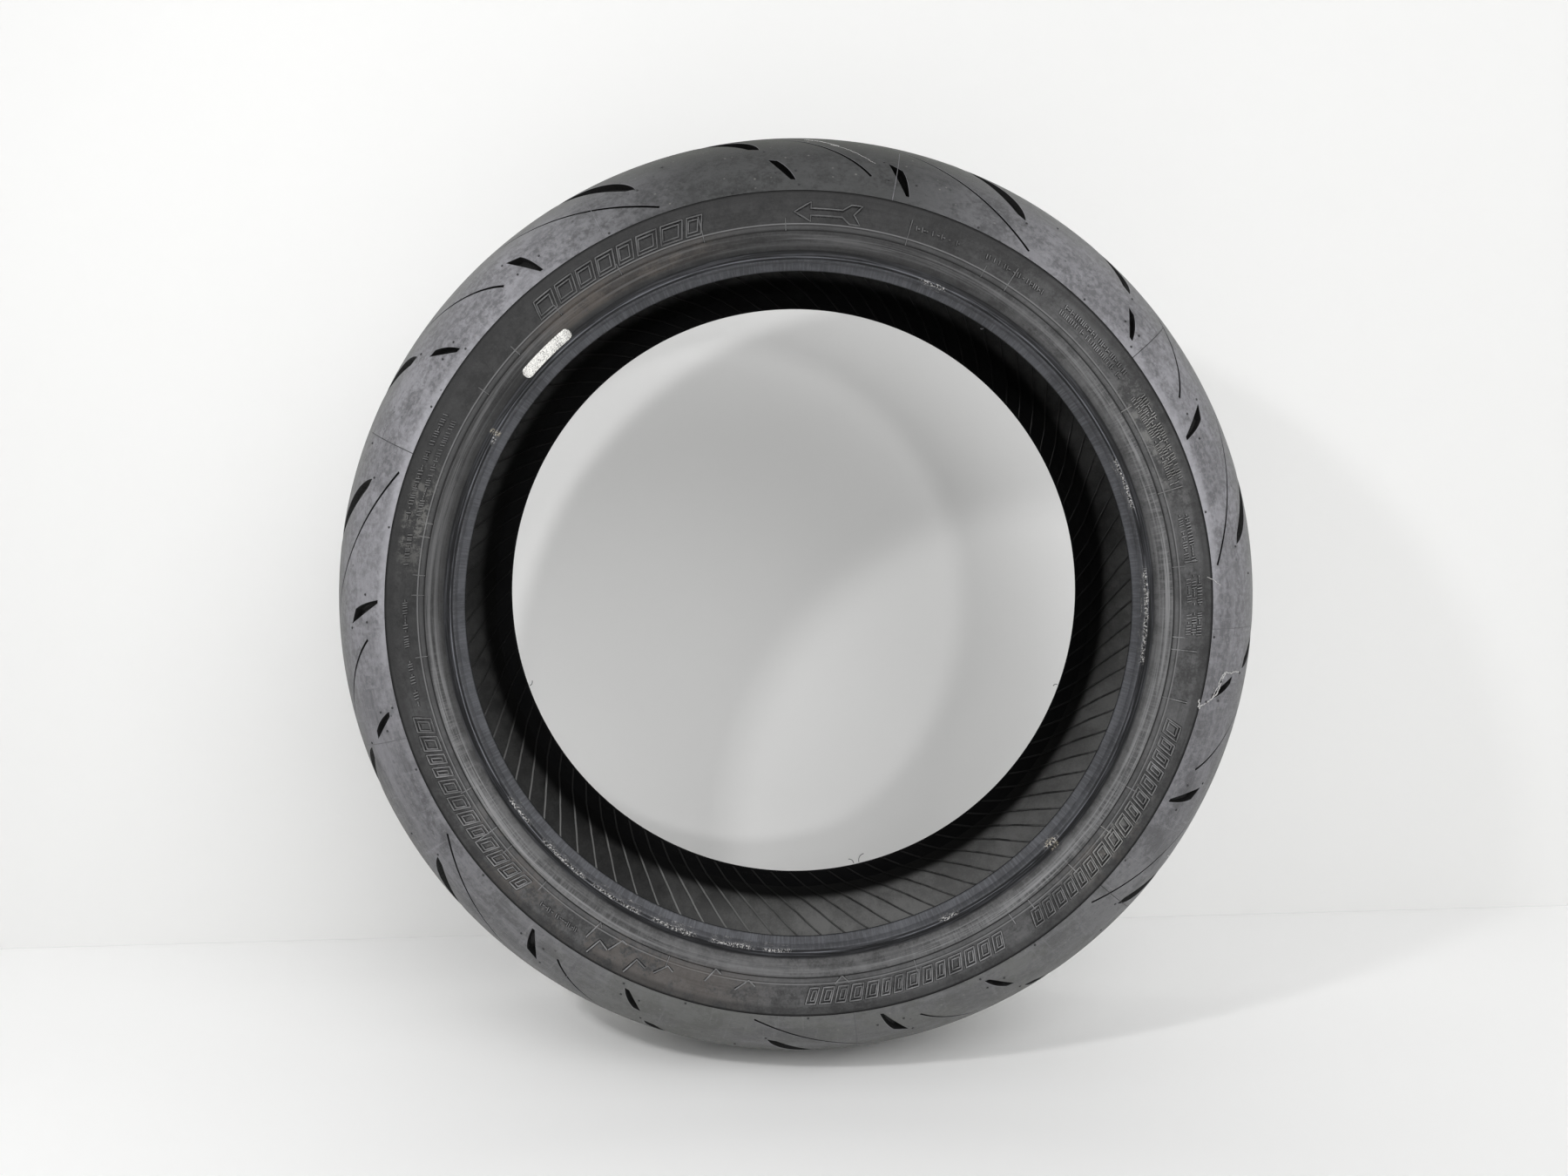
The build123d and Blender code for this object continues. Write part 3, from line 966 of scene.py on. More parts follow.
class Value:
    """Output of a node, with which sums are written plainly."""

    def __init__(self, nodes, socket):
        self.nodes, self.socket = nodes, socket

    def __add__(self, other):
        return self.nodes.math("ADD", self, other)

    def __sub__(self, other):
        return self.nodes.math("SUBTRACT", self, other)

    def __rsub__(self, other):
        return self.nodes.math("SUBTRACT", other, self)

    def __mul__(self, other):
        return self.nodes.math("MULTIPLY", self, other)

    def __truediv__(self, other):
        return self.nodes.math("DIVIDE", self, other)

    def __abs__(self):
        return self.nodes.math("ABSOLUTE", self)


class Nodes:
    """Places and links the nodes of one tree."""

    def __init__(self, tree):
        self.tree = tree

    def link(self, source, target):
        """Links a value to an input, or writes a plain value or colour into it."""
        if isinstance(source, Value):
            self.tree.links.new(source.socket, target)
        else:
            target.default_value = (*source, 1.0) if target.type == "RGBA" else source

    def place(self, kind, inputs=(), **properties):
        """Outputs of a new node, whose inputs are filled in order or by name."""
        node = self.tree.nodes.new(kind)
        for name, value in properties.items():
            setattr(node, name, value)
        for key, source in inputs.items() if isinstance(inputs, dict) else enumerate(inputs):
            self.link(source, node.inputs[key])
        return [Value(self, output) for output in node.outputs]

    def output(self, kind, name):
        """One output of a new node, by name."""
        return Value(self, self.tree.nodes.new(kind).outputs[name])

    def math(self, operation, a, b=0.0):
        """Value of a Math node."""
        return self.place("ShaderNodeMath", (a, b), operation=operation)[0]

    def ramp(self, value, low, high):
        """Value that rises smoothly from 0 to 1 between two levels."""
        return self.place("ShaderNodeMapRange", (value, low, high, 0.0, 1.0), interpolation_type="SMOOTHSTEP")[0]

    def band(self, value, low, high, soft):
        """Value that is 1 between two levels and fades outside them."""
        return self.ramp(value, low - soft, low + soft) - self.ramp(value, high - soft, high + soft)

    def noise(self, vector, scale, detail=4.0, roughness=0.55, w=None):
        """Value of a Noise node, with a fourth coordinate where one is given."""
        inputs = {"Vector": vector, "Scale": scale, "Detail": detail, "Roughness": roughness}
        if w is None:
            return self.place("ShaderNodeTexNoise", inputs, noise_dimensions="3D")[0]
        return self.place("ShaderNodeTexNoise", {**inputs, "W": w}, noise_dimensions="4D")[0]

    def mix(self, factor, a, b):
        """Colour between two colours."""
        return self.place("ShaderNodeMix", {0: factor, 6: a, 7: b}, data_type="RGBA")[2]

    def coats(self, base, first, *coats):
        """Colour under coats of (amount, colour), where a plain number is a tone of the base colour."""
        shade = faded(base, first) if isinstance(first, float) else first
        for amount, colour in coats:
            shade = self.mix(amount, shade, faded(base, colour) if isinstance(colour, float) else colour)
        return shade

    def vector(self, x, y, z):
        """Vector from three values."""
        return self.place("ShaderNodeCombineXYZ", (x, y, z))[0]

    def parts(self, vector):
        """The three values of a vector."""
        return self.place("ShaderNodeSeparateXYZ", (vector,))

    def reach(self, a, b):
        """Length of the long side over two sides at a right angle."""
        return self.math("SQRT", self.math("POWER", a, 2.0) + self.math("POWER", b, 2.0))


def built_group(name, build, outputs, defaults):
    """Node group with default inputs, whose outputs a rule works out."""
    group = bpy.data.node_groups.new(name, "ShaderNodeTree")
    for key, default in defaults.items():
        kind = "NodeSocketVector" if isinstance(default, tuple) else "NodeSocketFloat"
        group.interface.new_socket(name=key, in_out="INPUT", socket_type=kind).default_value = default
    for key, kind in outputs:
        group.interface.new_socket(name=key, in_out="OUTPUT", socket_type=f"NodeSocket{kind}")
    nodes = Nodes(group)
    given = nodes.place("NodeGroupInput")
    target = group.nodes.new("NodeGroupOutput")
    for source, socket in zip(build(nodes, *given[:len(defaults)]), target.inputs):
        nodes.link(source, socket)
    return group


def node_group(name, *outputs, **defaults):
    """Makes a rule into one that places a node group, which is built once."""

    def wrap(build):
        def place(nodes, **inputs):
            group = bpy.data.node_groups.get(name) or built_group(name, build, outputs, defaults)
            found = nodes.place("ShaderNodeGroup", inputs, node_tree=group)
            return found if len(outputs) > 1 else found[0]

        return place

    return wrap


NOWHERE = (0, 0, 0)
BRUSH_TIGHT, BRUSH_LONG = 0.23, 0.08
AMOUNT, HEIGHT = ("amount", "Float"), ("height", "Float")
Place = namedtuple("Place", "spot direction turn across out")


@node_group(
    "wheel place", ("spot", "Vector"), ("direction", "Vector"), ("turn", "Float"), ("across", "Float"), ("out", "Float")
)
def wheel_place(nodes):
    """Where a point lies on the wheel: turn in degrees, metres across and out, and direction from the axle."""
    spot = nodes.output("ShaderNodeTexCoord", "Object")
    x, y, z = nodes.parts(spot)
    turn = nodes.math("DEGREES", nodes.math("ARCTAN2", z, x))
    turn = turn + nodes.math("LESS_THAN", turn, 0.0) * 360.0
    out = nodes.reach(x, z)
    return spot, nodes.vector(x / out, 0.0, z / out), turn, y, out


@node_group("turn window", AMOUNT, turn=0.0, middle=0.0, half=10.0, soft=2.0)
def turn_window(nodes, turn, middle, half, soft):
    """1 within some degrees of a turn, fading outside."""
    apart = abs(nodes.math("MODULO", turn - middle + 540.0, 360.0) - 180.0)
    return (1.0 - nodes.ramp(apart, half - soft, half + soft),)


@node_group("mottling", AMOUNT, spot=NOWHERE, scale=10.0, low=0.42, high=0.60)
def mottling(nodes, spot, scale, low, high):
    """Patchy dust from three sizes of noise."""
    total = nodes.noise(spot, scale, 3.0, 0.6) * 0.45 + nodes.noise(spot, scale * 5.0, 5.0, 0.65) * 0.33
    total = total + nodes.noise(spot, scale * 30.0, 4.0, 0.65) * 0.22
    return (nodes.ramp(total, low, high),)


@node_group("rubber grain", HEIGHT, spot=NOWHERE, scale=900.0, crazing=0.15)
def rubber_grain(nodes, spot, scale, crazing):
    """Fine height of worn rubber, crazed where it aged."""
    cells = nodes.place("ShaderNodeTexVoronoi", {"Vector": spot, "Scale": scale * 0.35}, feature="DISTANCE_TO_EDGE")
    cracks = nodes.ramp(cells[0], 0.0, 0.08)
    return (nodes.noise(spot, scale, 6.0, 0.7) + cracks * crazing,)


@node_group("ring streaks", AMOUNT, HEIGHT, scale=600.0, length=0.04, low=0.5, high=0.64)
def ring_streaks(nodes, scale, length, low, high):
    """Streaks that run round the wheel, as rubbed or polished rubber shows."""
    place = Place(*wheel_place(nodes))
    x, y, z = nodes.parts(place.spot)
    streak = nodes.noise(nodes.vector(x * length, y, z * length), scale, 5.0, 0.68, place.out)
    return nodes.ramp(streak, low, high), streak


@node_group("cross brush", AMOUNT, scale=800.0, low=0.46, high=0.62)
def cross_brush(nodes, scale, low, high):
    """Fine lines that run from the bead towards the tread, as buffed or wiped rubber shows."""
    place = Place(*wheel_place(nodes))
    x, _, z = nodes.parts(place.direction)
    along_it = nodes.vector(x * BRUSH_TIGHT, place.across * BRUSH_LONG, z * BRUSH_TIGHT)
    return (nodes.ramp(nodes.noise(along_it, scale, 4.0, 0.65, place.out * BRUSH_LONG), low, high),)


@node_group("specks", AMOUNT, spot=NOWHERE, scale=150.0, size=0.2, share=0.3)
def specks(nodes, spot, scale, size, share):
    """Scattered small round spots."""
    distance, colour = nodes.place("ShaderNodeTexVoronoi", {"Vector": spot, "Scale": scale})[:2]
    chosen = nodes.math("LESS_THAN", nodes.parts(colour)[0], share)
    return (chosen * (1.0 - nodes.ramp(distance, 0.05, size)),)


def windows(place, soft, *spans):
    """Value that is 1 within any of the spans, given as (first turn, last turn)."""
    nodes, total = place.turn.nodes, None
    for first, last in spans:
        window = turn_window(nodes, turn=place.turn, middle=(first + last) / 2, half=(last - first) / 2, soft=soft)
        total = window if total is None else nodes.math("MAXIMUM", total, window)
    return total


def height_over_seat(place):
    """Millimetres outward from the bead seat."""
    return place.out / MM - SEAT_RADIUS


def blank_material(name):
    """New material's nodes, with a Principled shader and an output."""
    material = bpy.data.materials.new(name)
    material.use_nodes = True
    tree = material.node_tree
    tree.nodes.clear()
    return material, Nodes(tree), tree.nodes.new("ShaderNodeBsdfPrincipled"), tree.nodes.new("ShaderNodeOutputMaterial")


def rubber(name):
    """Makes a rule for colour, roughness, height and bump size into one that gives the material, built once."""

    def wrap(build):
        def give():
            if name in bpy.data.materials:
                return bpy.data.materials[name]
            material, nodes, shader, output = blank_material(name)
            nodes.link(Value(nodes, shader.outputs[0]), output.inputs[0])
            place = Place(*wheel_place(nodes))
            shade, roughness, height, bump_size = build(nodes, place, shader.inputs)
            bump = nodes.place("ShaderNodeBump", {"Strength": 1.0, "Distance": bump_size, "Height": height})[0]
            for key, source in (("Base Color", shade), ("Roughness", roughness), ("Normal", bump)):
                nodes.link(source, shader.inputs[key])
            return material

        return give

    return wrap


def colours(name):
    """A colour that the panel shows."""
    return tuple(getattr(bpy.context.scene.tyre_colours, name))


def faded(base, factor):
    """A colour made darker or lighter."""
    return tuple(c * factor for c in base)


# ---------------------------------------------------------------- materials

GLOSS = "Specular IOR Level"
# Near black painted into the grooves and sipes as their shade
PAINTED_GROOVE_SHADE = (0.004, 0.004, 0.004)
BELT_PITCH, PLY_PITCH, WIRE_PITCH = 1.1, 1.0, 0.95
PLY_RADIUS = 290
# Turns round the wheel, first to last, where the side and its marks get painted shade, where the side is chalked, and
# where the liner is painted lighter as lit, with powder
PAINTED_SHADE_TURNS = (58, 198)
CHALKED = (19, 33), (316, 329), (160, 172)
POWDERED_AND_LIT = (262, 352)


@rubber("worn tread rubber")
def tread_material(nodes, place, shader):
    """Worn tread rubber: bluish grey, patchy with dust, olive where it stood in dirt, with dirt and painted shade over
    the top, painted highlights on its shoulders and groove edges, and painted shade in its grooves.
    """
    base, dirt, old_dirt = colours("tread"), colours("dirt"), colours("old_dirt")
    spot, across = place.spot, abs(place.across)
    cloud = mottling(nodes, spot=spot, scale=13.0, low=0.45, high=0.55)
    patch = mottling(nodes, spot=spot, scale=45.0, low=0.47, high=0.57)
    pebble = nodes.ramp(nodes.noise(spot, 260.0, 5.0, 0.7), 0.42, 0.60)
    scratch = cross_brush(nodes, scale=420.0, low=0.55, high=0.70)
    wide = ring_streaks(nodes, scale=70.0, length=0.10, low=0.47, high=0.60)[0]
    fine, fine_height = ring_streaks(nodes, scale=520.0, length=0.12, low=0.50, high=0.66)
    top = windows(place, 18, (62, 118))
    top_coat = nodes.mix(cloud, faded(old_dirt, 0.8), faded(old_dirt, 1.15))
    edge = nodes.ramp(across, (TREAD_HALF - 5.0) * MM, (TREAD_HALF - 0.8) * MM)
    depth = sizes().crown_radius * MM - nodes.reach(place.across, place.out - crown_centre() * MM)
    shade = nodes.coats(
        base, 0.62,
        (cloud, 1.30),
        (patch * 0.50, 0.58),
        (pebble * 0.40, 1.65),
        (windows(place, 14, (190, 350)) * (patch * 0.35 + 0.42), 0.34),
        (scratch * 0.30, 1.7),
        (wide * 0.30, 1.45),
        (fine * 0.22, 0.55),
        # Dark olive dirt with painted shade over the top of the wheel
        (top * 0.90, top_coat),
        (windows(place, 22, (232, 316)) * (cloud * 0.4 + 0.3), dirt),
        ((1.0 - nodes.ramp(across, 0.040, 0.074)) * 0.55, faded(dirt, 1.1)),
        # Painted highlight on the tread's edge at the left and right of the wheel
        (edge * windows(place, 14, (2, 36), (142, 184)) * 0.60, 2.1),
        (specks(nodes, spot=spot, scale=210.0, size=0.22, share=0.16) * 0.35, colours("dust")),
        (specks(nodes, spot=spot, scale=140.0, size=0.16, share=0.10) * 0.7, 0.2),
        # Painted highlight along the worn edges of the grooves and sipes
        (nodes.band(depth, 0.08 * MM, 0.22 * MM, 0.03 * MM) * 0.55, 2.2),
        # Painted shade deeper in the grooves and sipes
        (nodes.ramp(depth, 0.18 * MM, 0.42 * MM), PAINTED_GROOVE_SHADE),
    )
    grain = rubber_grain(nodes, spot=spot, scale=600.0, crazing=0.10)
    nodes.link(0.36 - top * 0.33, shader[GLOSS])
    return shade, cloud * 0.18 + 0.50, grain * 0.6 + fine_height * 0.4, 0.0005


@rubber("trimmed vent stub")
def stub_material(nodes, place, shader):
    """Dark trimmed ends of the vent stubs."""
    fine = nodes.noise(place.spot, 1500.0, 3.0)
    return nodes.mix(fine, (0.010, 0.010, 0.011), (0.035, 0.035, 0.037)), fine * 0.2 + 0.5, fine, 0.0001


@rubber("rubbed flash")
def flash_material(nodes, place, shader):
    """Rubbed flash rubber, paler than what it stands on."""
    fine = nodes.noise(place.spot, 400.0, 4.0)
    pale = windows(place, 3, (72, 84), (112, 124)) * nodes.ramp(fine, 0.42, 0.62)
    pale = pale * nodes.ramp(abs(place.across), 0.074, 0.084)
    dark = windows(place, 3, (33, 42), (153, 162), (313, 322))
    return nodes.coats(colours("tread"), 0.62, (dark, 0.12), (pale, 1.1)), fine * 0.2 + 0.5, fine, 0.0001


@rubber("torn pale rubber")
def scuff_material(nodes, place, shader):
    """Torn, pale rubber of a scuff."""
    fine = nodes.noise(place.spot, 1200.0, 5.0, 0.7)
    shade = nodes.mix(nodes.ramp(fine, 0.36, 0.62), (0.20, 0.20, 0.20), (0.62, 0.61, 0.60))
    return shade, fine * 0.2 + 0.7, fine, 0.0004


def side_shade(nodes, place):
    """Colour of the side rubber in its bands, with painted light and shade among them, the streaks' height and the
    polish.
    """
    base, stain, out = colours("side"), colours("stain"), height_over_seat(place)
    dust = mottling(nodes, spot=place.spot, scale=20.0, low=0.44, high=0.56)
    fine_dust = mottling(nodes, spot=place.spot, scale=110.0, low=0.46, high=0.58)
    streak, streak_height = ring_streaks(nodes, scale=620.0, length=0.035, low=0.47, high=0.66)
    long_streak = ring_streaks(nodes, scale=460.0, length=0.02, low=0.42, high=0.62)[0]
    brush = cross_brush(nodes, scale=900.0)
    # Turns where the bulge is polished and also painted with sheen
    polished = windows(place, 14, (-4, 40), (190, 240), (290, 352))
    bulge = nodes.band(out, 7.2, 16.2, 0.8) * nodes.ramp(out, 7.0, 11.6)
    polish_and_sheen = polished * 0.62 + 0.30
    brown = windows(place, 9, (103, 134)) * nodes.band(out, 8.5, 20.5, 1.2) * (dust * 0.35 + 0.15)
    low = windows(place, 8, (212, 262), (316, 334)) * nodes.ramp(out, 12.0, 22.0) * nodes.ramp(dust, 0.25, 0.9)
    pale = windows(place, 5, *CHALKED) * nodes.band(out, 20.0, 35.0, 2.5) * nodes.ramp(fine_dust, 0.15, 0.85)
    shade = nodes.coats(
        base, 0.62,
        (dust, 1.25),
        (fine_dust * 0.42, 2.2),
        (streak * 0.34, 0.35),
        # Painted shade over the top of the wheel
        (windows(place, 16, PAINTED_SHADE_TURNS) * 0.70, 0.15),
        # The bulge paler with rubbed streaks and brush lines, and with painted sheen in the polished turns; the same
        # mask lowers its roughness
        (bulge * polish_and_sheen * long_streak, 4.2),
        (bulge * polished * brush * 0.40, 3.4),
        (nodes.band(out, 16.4, 21.2, 0.4) * 0.25, 2.0),
        # Painted shade in the ring groove, a painted highlight on the ring ridge and painted shade just under the ridge
        (nodes.band(out, 16.45, 17.35, 0.15) * 0.92, 0.08),
        (nodes.band(out, 20.3, 21.0, 0.15) * 0.60, 3.4),
        (nodes.band(out, 19.7, 20.2, 0.12) * 0.70, 0.25),
        (brown, stain),
        (low * 0.38, stain),
        (pale * 0.22, colours("dust")),
        # Painted shade on the upper side towards the tread, and a painted shadow in the crease under the tread's edge
        (nodes.ramp(out, 33.0, 36.5) * 0.55, 0.30),
        (nodes.ramp(out, 38.6, 39.8) * 0.9, 0.04),
    )
    return shade, streak_height, bulge * polish_and_sheen


@rubber("side rubber")
def side_material(nodes, place, shader):
    """Side rubber: polished bulge over the rim with painted sheen, decorated band with dust, painted light and shade at
    the ring lines, and painted shade towards the tread and over the top of the wheel.
    """
    shade, streaks, polish_and_sheen = side_shade(nodes, place)
    grain = rubber_grain(nodes, spot=place.spot, scale=800.0, crazing=0.10)
    nodes.link(0.27, shader[GLOSS])
    return shade, 0.60 - polish_and_sheen * 0.22, grain * 0.5 + streaks * 0.6, 0.0005


@rubber("rubbed raised rubber")
def raised_material(nodes, place, shader):
    """Raised lines of the side, rubbed paler along their tops, with painted shade over the top of the wheel."""
    dust = mottling(nodes, spot=place.spot, scale=40.0, low=0.42, high=0.60)
    pale, painted_top_shade = windows(place, 5, *CHALKED), windows(place, 16, PAINTED_SHADE_TURNS)
    shade = nodes.coats(colours("side"), 1.6, (dust, 3.6), (pale * 0.3, colours("dust")), (painted_top_shade * 0.60, 0.7))
    nodes.link(0.5, shader[GLOSS])
    return shade, 0.52 - dust * 0.1, nodes.noise(place.spot, 1200.0, 4.0), 0.00012


@rubber("dirt along raised lines")
def line_shadow_material(nodes, place, shader):
    """Dark painted shadow along the raised lines."""
    fine = nodes.noise(place.spot, 700.0, 4.0)
    nodes.link(0.2, shader[GLOSS])
    return nodes.coats(colours("side"), 0.15, (nodes.ramp(fine, 0.4, 0.7), 0.6)), fine * 0.2 + 0.6, fine, 0.0001


HEEL_SCUFFS = (
    (-4.5, 7.0), (17.5, 26.0), (66.0, 70.0), (150.0, 151.0), (213.0, 218.0), (222.0, 231.0), (233.0, 242.0),
    (244.5, 252.0), (255.0, 262.0), (264.0, 268.5), (294.5, 297.2), (316.0, 318.5), (351.5, 355.5),
)


@rubber("bead rubber")
def bead_material(nodes, place, shader):
    """Bead rubber: grey brushed sole, black polished heel with a painted highlight along its line, bulge paler with
    rubbing and painted sheen, ragged pale scuffs from the rim, and painted shade on the inside face.
    """
    base, spot, out = colours("bead"), place.spot, height_over_seat(place)
    across = abs(place.across) / MM
    patch = mottling(nodes, spot=spot, scale=24.0, low=0.43, high=0.60)
    brush = cross_brush(nodes, scale=700.0)
    streak, streak_height = ring_streaks(nodes, scale=800.0, length=0.03, low=0.45, high=0.64)
    dents = specks(nodes, spot=spot, scale=90.0, size=0.3, share=0.2)
    sole = nodes.coats(base, 0.70, (patch, 1.15), (brush * 0.5, 1.7), (dents * 0.45, 0.3))
    heel = nodes.coats(base, 0.11, (streak * 0.6, 0.85))
    # Painted highlight along the heel line, broken up by the streaks
    line = nodes.band(out, 1.9, 2.5, 0.25) * nodes.ramp(streak_height, 0.38, 0.6)
    torn = nodes.ramp(nodes.noise(spot, 900.0, 5.0, 0.75), 0.50, 0.57)
    reach = out + (nodes.noise(spot, 160.0, 3.0) - 0.5) * 3.0
    scuff = windows(place, 0.8, *HEEL_SCUFFS) * nodes.band(reach, 0.3, 2.4, 0.5) * torn
    speck = windows(place, 0.3, (316.2, 318.0), (149.2, 149.9)) * nodes.band(across, 78.5, 82.6, 0.8) * torn
    # Painted shade on the inside face of the bead, from the toe
    beyond = across - (out * 0.6 + (TOE_ACROSS + 3.2))
    inside = 1.0 - nodes.ramp(beyond, 0.2, 0.8)
    shade = nodes.coats(
        base, sole,
        (nodes.ramp(out, 0.2, 1.0), heel),
        (nodes.ramp(out, 5.4, 7.0), side_shade(nodes, place)[0]),
        (line * 0.65, 2.6),
        (scuff * 0.85, (0.62, 0.61, 0.60)),
        (speck, (0.62, 0.56, 0.44)),
        (inside, 0.03),
    )
    grain = rubber_grain(nodes, spot=spot, scale=600.0, crazing=0.05)
    dull = nodes.math("MAXIMUM", inside, nodes.band(out, 0.8, 6.2, 0.6))
    nodes.link(0.38 - dull * 0.22, shader[GLOSS])
    return shade, patch * 0.1 + 0.52, grain * 0.35 + streak_height * 0.7 + scuff * 0.8, 0.0003


def bead_shadow(nodes, place, start):
    """Painted shade: 1 inside the beads, fading out over the liner's lower part."""
    return 1.0 - nodes.ramp(height_over_seat(place), start, 25.0)


@rubber("matt inner liner")
def liner_material(nodes, place, shader):
    """Matt liner with traces of release powder, painted lighter where light falls in at the lower right, and with
    painted shade near the beads.
    """
    base = colours("liner")
    powder = mottling(nodes, spot=place.spot, scale=26.0, low=0.42, high=0.60)
    black, powder_and_light = nodes.coats(base, 0.35, (powder, 0.70)), nodes.coats(base, 2.3, (powder, 3.4))
    # Painted shade near the beads
    dark = bead_shadow(nodes, place, 17.0) * 0.96
    # Powder with painted light at the lower right
    shade = nodes.coats(base, black, (windows(place, 26, POWDERED_AND_LIT), powder_and_light), (dark, 0.03))
    nodes.link(0.22, shader[GLOSS])
    return shade, powder * 0.12 + 0.62, rubber_grain(nodes, spot=place.spot, scale=600.0, crazing=0.10), 0.0002


@rubber("liner rib")
def rib_material(nodes, place, shader):
    """Ribs of the liner, with powder and painted light at the lower left and right, and painted shade near the beads.
    """
    base = colours("liner")
    powder = nodes.noise(place.spot, 120.0, 4.0, 0.6)
    powder_and_light = nodes.coats(base, 0.5, (nodes.ramp(powder, 0.35, 0.65), 1.3))
    # Painted light on the ribs at the lower left
    painted_rib_light = windows(place, 14, (208, 262)) * 0.8
    # Painted shade near the beads
    dark = bead_shadow(nodes, place, 16.0) * 0.94
    shade = nodes.coats(base, 0.4, (windows(place, 26, POWDERED_AND_LIT), powder_and_light), (painted_rib_light, 4.5), (dark, 0.05))
    nodes.link(0.3, shader[GLOSS])
    return shade, 0.5 - powder * 0.1, powder, 0.0002


@rubber("worn white label")
def label_material(nodes, place, shader):
    """White label, speckled where it has rubbed through."""
    fine, wide = nodes.noise(place.spot, 1500.0, 5.0, 0.72), nodes.noise(place.spot, 130.0, 3.0, 0.6)
    wear = fine + wide * 0.35 + windows(place, 0.4, (129.0, 130.6)) * 0.06
    holes = nodes.ramp(wear, 0.69, 0.75) * 0.75
    shade = nodes.coats(colours("label"), 1.0, (nodes.ramp(fine, 0.3, 0.7), 0.62), (holes, (0.08, 0.08, 0.08)))
    return shade, fine * 0.3 + 0.5, fine, 0.00008


@rubber("hard filler rubber")
def hard_rubber_material(nodes, place, shader):
    """Hard black filler rubber."""
    fine = nodes.noise(place.spot, 500.0, 4.0)
    return nodes.mix(fine, (0.02, 0.02, 0.02), (0.05, 0.05, 0.05)), nodes.ramp(fine, -0.6, 1.2), fine, 0.0001


def ridges(nodes, phase):
    """Wave from 0 to 1 and back."""
    return nodes.math("SINE", phase) * 0.5 + 0.5


def cord_material(name, base, phase):
    """Rubbered cord, with a fine ridge at each step of the phase that a rule gives."""

    @rubber(name)
    def give(nodes, place, shader):
        ridge = ridges(nodes, phase(place))
        return nodes.coats(base, 0.6, (ridge, 1.2)), 0.8 - ridge * 0.2, ridge, 0.0002

    return give()


@rubber("bronze coated wire")
def wire_material(nodes, place, shader):
    """Bronze-coated wire of the bead core, with its turns showing."""
    ridge = ridges(nodes, (place.out + place.across) * (2 * pi / (WIRE_PITCH * MM)))
    nodes.link(1.0, shader["Metallic"])
    return nodes.mix(ridge, (0.30, 0.24, 0.15), (0.62, 0.54, 0.38)), 0.5 - ridge * 0.15, ridge, 0.0002


class TYRE_OT_inner_finishes(bpy.types.Operator):
    """Gives the layers inside the tyre their finishes"""

    bl_idname = "tyre.inner_finishes"
    bl_label = "Inner finishes"

    def execute(self, context):
        belt = cord_material("belt cord", (0.16, 0.15, 0.12), lambda place: place.across * (2 * pi / (BELT_PITCH * MM)))
        around = radians(1) * PLY_RADIUS * 2 * pi / PLY_PITCH
        ply = cord_material("ply fabric", (0.20, 0.16, 0.12), lambda place: place.turn * around)
        finishes = {"jointless_belt": belt, "carcass_ply": ply}
        for side in SIDES:
            finishes[f"bead_core_{side}"] = wire_material()
            finishes[f"bead_wrap_{side}"] = ply
            finishes[f"bead_filler_{side}"] = hard_rubber_material()
        for node, material in finishes.items():
            data = frame["nodes"][node].data
            data.materials.clear()
            data.materials.append(material)
        return {"FINISHED"}


# ---------------------------------------------------------------- studio

def stage_material(name, base, show_back):
    """Pale matt surface; a wall that shows no back lets the other views see past it."""
    material, nodes, shader, output = blank_material(name)
    spot = nodes.output("ShaderNodeTexCoord", "Object")
    shade = nodes.coats(base, 1.0, (nodes.noise(spot, 3.0, 3.0), 0.97))
    for key, source in (("Base Color", shade), ("Roughness", 0.9), (GLOSS, 0.1)):
        nodes.link(source, shader.inputs[key])
    surface = Value(nodes, shader.outputs[0])
    if not show_back:
        backfacing = nodes.output("ShaderNodeNewGeometry", "Backfacing")
        clear = nodes.place("ShaderNodeBsdfTransparent")[0]
        surface = nodes.place("ShaderNodeMixShader", (backfacing, surface, clear))[0]
    nodes.link(surface, output.inputs[0])
    return material


def lamp(name, place, aim, size, power):
    """Soft square lamp that faces a point and isn't seen itself."""
    data = bpy.data.lights.new(name, "AREA")
    data.size, data.energy = size, power
    obj = bpy.data.objects.new(name, data)
    bpy.context.collection.objects.link(obj)
    obj.location = place
    obj.rotation_euler = (Vector(aim) - Vector(place)).to_track_quat("-Z", "Y").to_euler()
    obj.visible_camera = False
    return obj


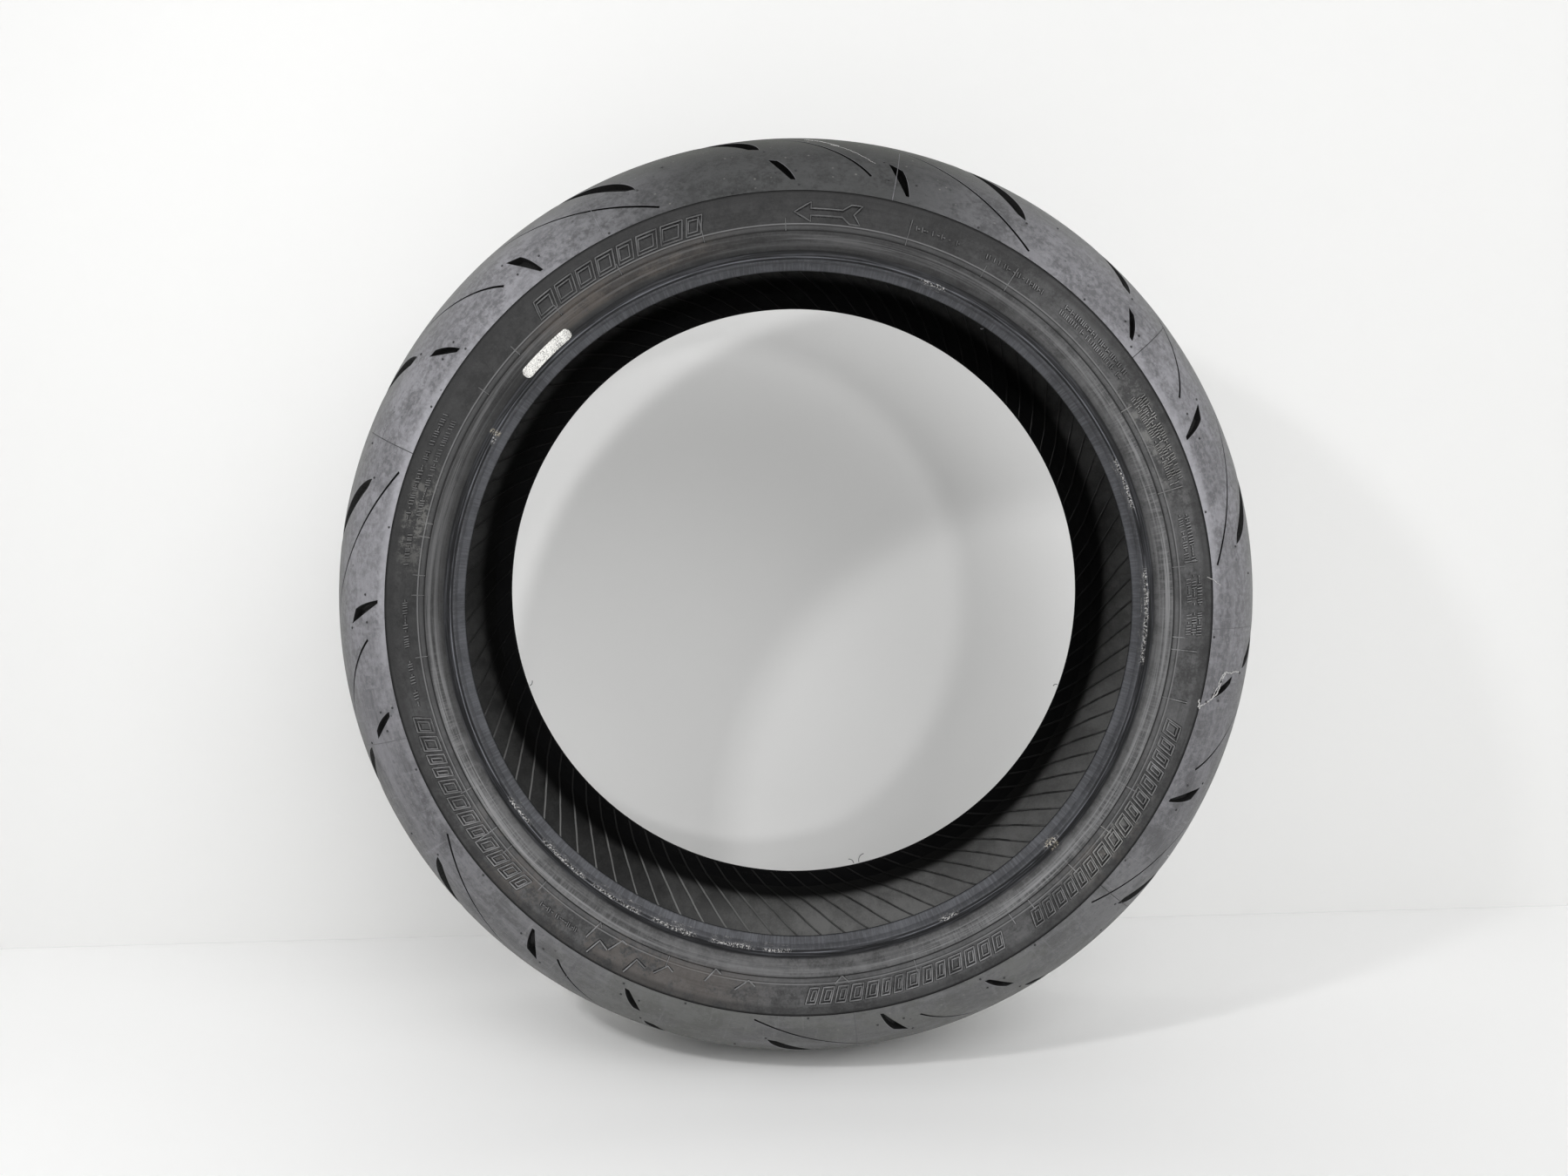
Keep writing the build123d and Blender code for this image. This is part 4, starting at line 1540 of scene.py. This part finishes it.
class TYRE_OT_studio(bpy.types.Operator):
    """Builds the floor, the wall, the lamps and the camera"""

    bl_idname = "tyre.studio"
    bl_label = "Studio"

    def execute(self, context):
        studio = context.scene.tyre_studio
        ground = -OUTER_RADIUS * MM
        clear_selection()
        bpy.ops.mesh.primitive_plane_add(size=8.0, location=(0, -3.2, ground - 0.0002))
        floor = context.object
        floor.name = "floor"
        floor.data.materials.append(stage_material("pale floor", (0.98, 0.98, 0.975), True))
        clear_selection()
        bpy.ops.mesh.primitive_plane_add(size=8.0)
        wall = context.object
        wall.name = "wall"
        upright = Matrix.Rotation(radians(studio.wall_turn), 4, "Z") @ Matrix.Rotation(pi / 2, 4, "X")
        wall.data.transform(Matrix.Translation((0, studio.wall_distance, 4.0 + ground)) @ upright)
        wall.data.materials.append(stage_material("pale wall", (0.775, 0.775, 0.768), False))

        middle = (0, -0.08, 0)
        lamp("key lamp", (-0.61, -0.80, 0.55), middle, 0.08, studio.key_power)
        lamp("fill lamp", (1.00, -4.00, 0.27), middle, 0.30, studio.fill_power)
        lamp("front panel", (1.00, -2.20, 1.45), middle, 2.2, studio.panel_power)
        world = bpy.data.worlds.new("studio air")
        context.scene.world = world
        world.use_nodes = True
        world.node_tree.nodes["Background"].inputs["Color"].default_value = (1.0, 1.0, 1.0, 1.0)
        world.node_tree.nodes["Background"].inputs["Strength"].default_value = studio.sky_level

        lens = bpy.data.cameras.new("camera")
        lens.lens, lens.sensor_width = 27.0, 36.0
        camera = bpy.data.objects.new("camera", lens)
        bpy.context.collection.objects.link(camera)
        camera.location = (-0.0221, -0.823, 0.0629)
        camera.rotation_euler = (radians(90 - 3.72), 0, radians(-0.90))
        context.scene.camera = camera
        context.scene.view_settings.view_transform = "Standard"
        return {"FINISHED"}


# ---------------------------------------------------------------- panel and run

PIECE_OPERATORS = (
    TYRE_OT_tread, TYRE_OT_nubs, TYRE_OT_sides, TYRE_OT_beads, TYRE_OT_liner, TYRE_OT_label, TYRE_OT_marks,
    TYRE_OT_parting_lines, TYRE_OT_scuffs, TYRE_OT_whiskers, TYRE_OT_inner_finishes,
)


class TYRE_PT_panel(bpy.types.Panel):
    """Lists the tyre's sizes, colours and building steps"""

    bl_label = "Motorcycle Tyre"
    bl_idname = "TYRE_PT_panel"
    bl_space_type = "VIEW_3D"
    bl_region_type = "UI"
    bl_category = "Tyre"

    def draw(self, context):
        scene = context.scene
        groups = {"Sizes": scene.tyre_sizes, "Colours": scene.tyre_colours, "Studio": scene.tyre_studio}
        for heading, group in groups.items():
            box = self.layout.box()
            box.label(text=heading)
            for name in group.__annotations__:
                box.prop(group, name)
        column = self.layout.column(align=True)
        for operator in (TYRE_OT_studio, *PIECE_OPERATORS):
            column.operator(operator.bl_idname)


CLASSES = (TyreSizes, TyreColours, StudioSettings, TYRE_OT_studio, *PIECE_OPERATORS, TYRE_PT_panel)


def register():
    """Registers the classes and their settings."""
    for item in CLASSES:
        bpy.utils.register_class(item)
    bpy.types.Scene.tyre_sizes = bpy.props.PointerProperty(type=TyreSizes)
    bpy.types.Scene.tyre_colours = bpy.props.PointerProperty(type=TyreColours)
    bpy.types.Scene.tyre_studio = bpy.props.PointerProperty(type=StudioSettings)


def unregister():
    """Removes the settings and the classes."""
    del bpy.types.Scene.tyre_sizes
    del bpy.types.Scene.tyre_colours
    del bpy.types.Scene.tyre_studio
    for item in reversed(CLASSES):
        bpy.utils.unregister_class(item)


def main():
    """Builds the studio and every piece."""
    register()
    bpy.ops.tyre.studio()
    bpy.ops.tyre.tread()
    bpy.ops.tyre.nubs()
    bpy.ops.tyre.sides()
    bpy.ops.tyre.beads()
    bpy.ops.tyre.liner()
    bpy.ops.tyre.label()
    bpy.ops.tyre.marks()
    bpy.ops.tyre.parting_lines()
    bpy.ops.tyre.scuffs()
    bpy.ops.tyre.whiskers()
    bpy.ops.tyre.inner_finishes()


if __name__ == "__main__":
    main()
